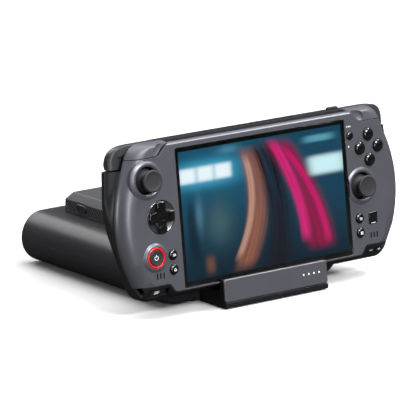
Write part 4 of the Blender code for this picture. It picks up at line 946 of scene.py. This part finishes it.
PLUG_Y, PLUG_HALF_X, PLUG_HALF_Y = 13.1, 7.3, 3.3
LIGHT_POCKET = (23.0, 42.4, -5.0, -1.9, -59.8, -55.4)
carve(cradle, leaned_block(-PLUG_HALF_X, PLUG_HALF_X, PLUG_Y - PLUG_HALF_Y, PLUG_Y + PLUG_HALF_Y,
                           -66.0, -50.0))
carve(cradle, leaned_block(*LIGHT_POCKET))
low, high = span("front_foot", room_axes)
carve(cradle, stack(low, high, ((-3.0, -0.3), (2.4, -0.3)), 3.3, 8, 2))
dress(cradle, cradle_black, "dock", ["cradle_body"])

plate_low, plate_high = span("cradle_front_plate")
LED_X, LED_PITCH, LED_Z, LED_R = 25.5, 4.83, -57.6, 0.7
steps = ((LIP_FRONT, 0.9), (LIP_FRONT + 0.05, 0.6), (LIP_FRONT + 0.25, 0.25), (LIP_FRONT + 0.5, 0.07),
         (LIP_FRONT + 0.9, 0.0), (PLATE_BACK, 0.0))
plate = mesh_of("lip_plate", stack(plate_low, plate_high, steps, 2.0, 10, 1, 0.5), console_axes)
carve(plate, joined([turned([(-8.0, LED_R + 0.15), (0.0, LED_R + 0.15)], (LED_X + LED_PITCH * k, LED_Z), 32)
                     for k in range(4)]))
dress(plate, gunmetal, "dock", ["cradle_front_plate"])
pips = mesh_of("charge_lights", joined([turned([(LIP_FRONT - 0.05, 0.30), (LIP_FRONT, 0.52),
                                                (LIP_FRONT + 0.3, LED_R), (-3.0, LED_R)],
                                               (LED_X + LED_PITCH * k, LED_Z), 32) for k in range(4)]),
               console_axes)
dress(pips, lamp_white, "dock", ["light_guide"])

# ---------------------------------------------------------------------------------------------
# Battery pack.  A shallow box with a broad chamfer, its sides ribbed for grip on either side of the
# release keys; it lifts off the dock.
pack_low, pack_high = span("battery_shell", room_axes)
PACK_WALL_H, PACK_CHAMFER, PACK_CORNER, PACK_SKIN = 9.4, 4.4, 1.6, 2.2
PACK_H = pack_high.z - pack_low.z


pack = mesh_of("pack_shell", stack(pack_low, pack_high, [(pack_low.z + z, s) for z, s in (
    (PACK_H, PACK_CHAMFER + 1.2), (PACK_H - 0.08, PACK_CHAMFER + 0.5),
    (PACK_H - 0.45, PACK_CHAMFER - 0.15), (PACK_WALL_H + 0.35, 0.35), (PACK_WALL_H, 0.08),
    (PACK_WALL_H - 0.4, 0.0), (0.0, 0.0), (0.0, PACK_SKIN), (PACK_WALL_H - 0.8, PACK_SKIN),
    (PACK_H - 2.0, 5.4))], PACK_CORNER, 10, 2), room_axes)
release_low, release_high = span("release_button_left", room_axes)
RIB_PITCH, RIB_RUN, RIB_WIDTH, RIB_DEPTH, RIB_COUNT = 3.7, 8.0, 1.5, 0.9, 31


def sideways(outline, x0, x1):
    return loft([[(x, y, z) for y, z in outline] for x in (x0, x1)])


ribs, gaps = [], []
for side in (-1, 1):
    x0, x1 = sorted((side * (pack_high.x - RIB_DEPTH), side * (pack_high.x + 2.0)))
    for k in range(RIB_COUNT):
        y, low_z, high_z = pack_low.y + 10.5 + RIB_PITCH * k, pack_low.z + 1.0, pack_low.z + PACK_WALL_H - 0.4
        ribs.append(sideways([(y - RIB_RUN / 2, low_z), (y - RIB_RUN / 2 + RIB_WIDTH, low_z),
                              (y + RIB_RUN / 2 + RIB_WIDTH, high_z), (y + RIB_RUN / 2, high_z)], x0, x1))
    gaps.append(stack(release_low, release_high, [(x, -0.2) for x in sorted((side * 50.0, side * 70.0))],
                      3.1, 10, 0))
carve(pack, joined(ribs))
bosses = [sideways(rectangle(release_low.y - 1.6, release_high.y + 1.6, release_low.z - 1.5,
                             release_high.z + 1.5, 4.4, 10),
                   *sorted((side * (pack_high.x - 2.0), side * (pack_high.x - 0.02)))) for side in (-1, 1)]
carve(pack, joined(bosses), "UNION")
carve(pack, joined(gaps))
pack_satin = moulding("pack_satin_plastic", (0.060, 0.061, 0.068), (0.080, 0.081, 0.090), 0.42, 0.05, 2300.0,
                      0.12, round_edge=0.2)
dress(pack, pack_satin, "battery_pack", ["battery_shell"])
for name, side in (("release_button_left", -1), ("release_button_right", 1)):
    levels = [(side * x, s) for x, s in ((60.75, 1.5), (60.88, 1.0), (60.75, 0.5), (60.4, 0.1), (60.0, 0.0),
                                         (55.0, 0.0))]
    made = mesh_of(name + "_cap", stack(release_low, release_high, levels, 3.0, 10, 0, 1.0), room_axes)
    dress(made, key_satin, name, [name], 45.0)

# ---------------------------------------------------------------------------------------------
# Feet.  Moulded rubber pads bonded into recesses under the dock and the cradle.
foot_rubber = moulding("foot_rubber", (0.012, 0.012, 0.012), (0.022, 0.022, 0.023), 0.80, 0.08, 1100.0, 0.4,
                       round_edge=0.3)
for node, radius in (("left_foot", 4.8), ("right_foot", 4.8), ("front_foot", 3.0)):
    low, high = span(node, room_axes)
    levels = ((low.z, 0.4), (low.z + 0.3, 0.0), (high.z, 0.0))
    pad = mesh_of(node + "_pad", stack(low, high, levels, radius, 10, 2, 1.0), room_axes)
    dress(pad, foot_rubber, "dock", [node])

# ---------------------------------------------------------------------------------------------
# Inside and behind.  Boards, cells, cooler and connectors, mostly hidden by the shells; they keep
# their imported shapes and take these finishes.
board = moulding("solder_mask", (0.008, 0.050, 0.026), (0.016, 0.085, 0.045), 0.30, 0.08, 700.0, 0.20,
                 coat=0.3)
pouch = moulding("pouch_foil", (0.30, 0.31, 0.33), (0.40, 0.41, 0.43), 0.34, 0.10, 260.0, 0.25, metallic=0.8)
wrap_film = moulding("cell_film", (0.020, 0.075, 0.190), (0.035, 0.110, 0.250), 0.30, 0.08, 300.0, 0.15,
                     coat=0.2)
copper = moulding("cooler_copper", (0.62, 0.30, 0.17), (0.74, 0.40, 0.24), 0.26, 0.10, 1500.0, 0.10,
                  metallic=1.0)
steel = moulding("pressed_steel", (0.46, 0.47, 0.49), (0.58, 0.59, 0.61), 0.28, 0.08, 1700.0, 0.08,
                 metallic=1.0)
inner_black = moulding("inner_black_plastic", (0.014, 0.0145, 0.016), (0.026, 0.027, 0.029), 0.42, 0.08,
                       1900.0, 0.2)
finishes = {board: ("mainboard", "left_control_board", "right_control_board", "power_board"),
            pouch: ("console_battery",), wrap_film: ("battery_cells",), copper: ("heatsink",),
            steel: ("charge_socket", "left_stick_gimbal", "right_stick_gimbal"),
            inner_black: ("fan_housing", "fan_rotor", "speaker_left", "speaker_right", "left_stick_housing",
                          "right_stick_housing", "dpad_rocker", "pack_connector", "dock_plug", "mains_inlet"),
            dock_satin: ("battery_base",)}
for finish, names in finishes.items():
    for name in names:
        node_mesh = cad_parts[name].data
        node_mesh.materials.clear()
        node_mesh.materials.append(finish)
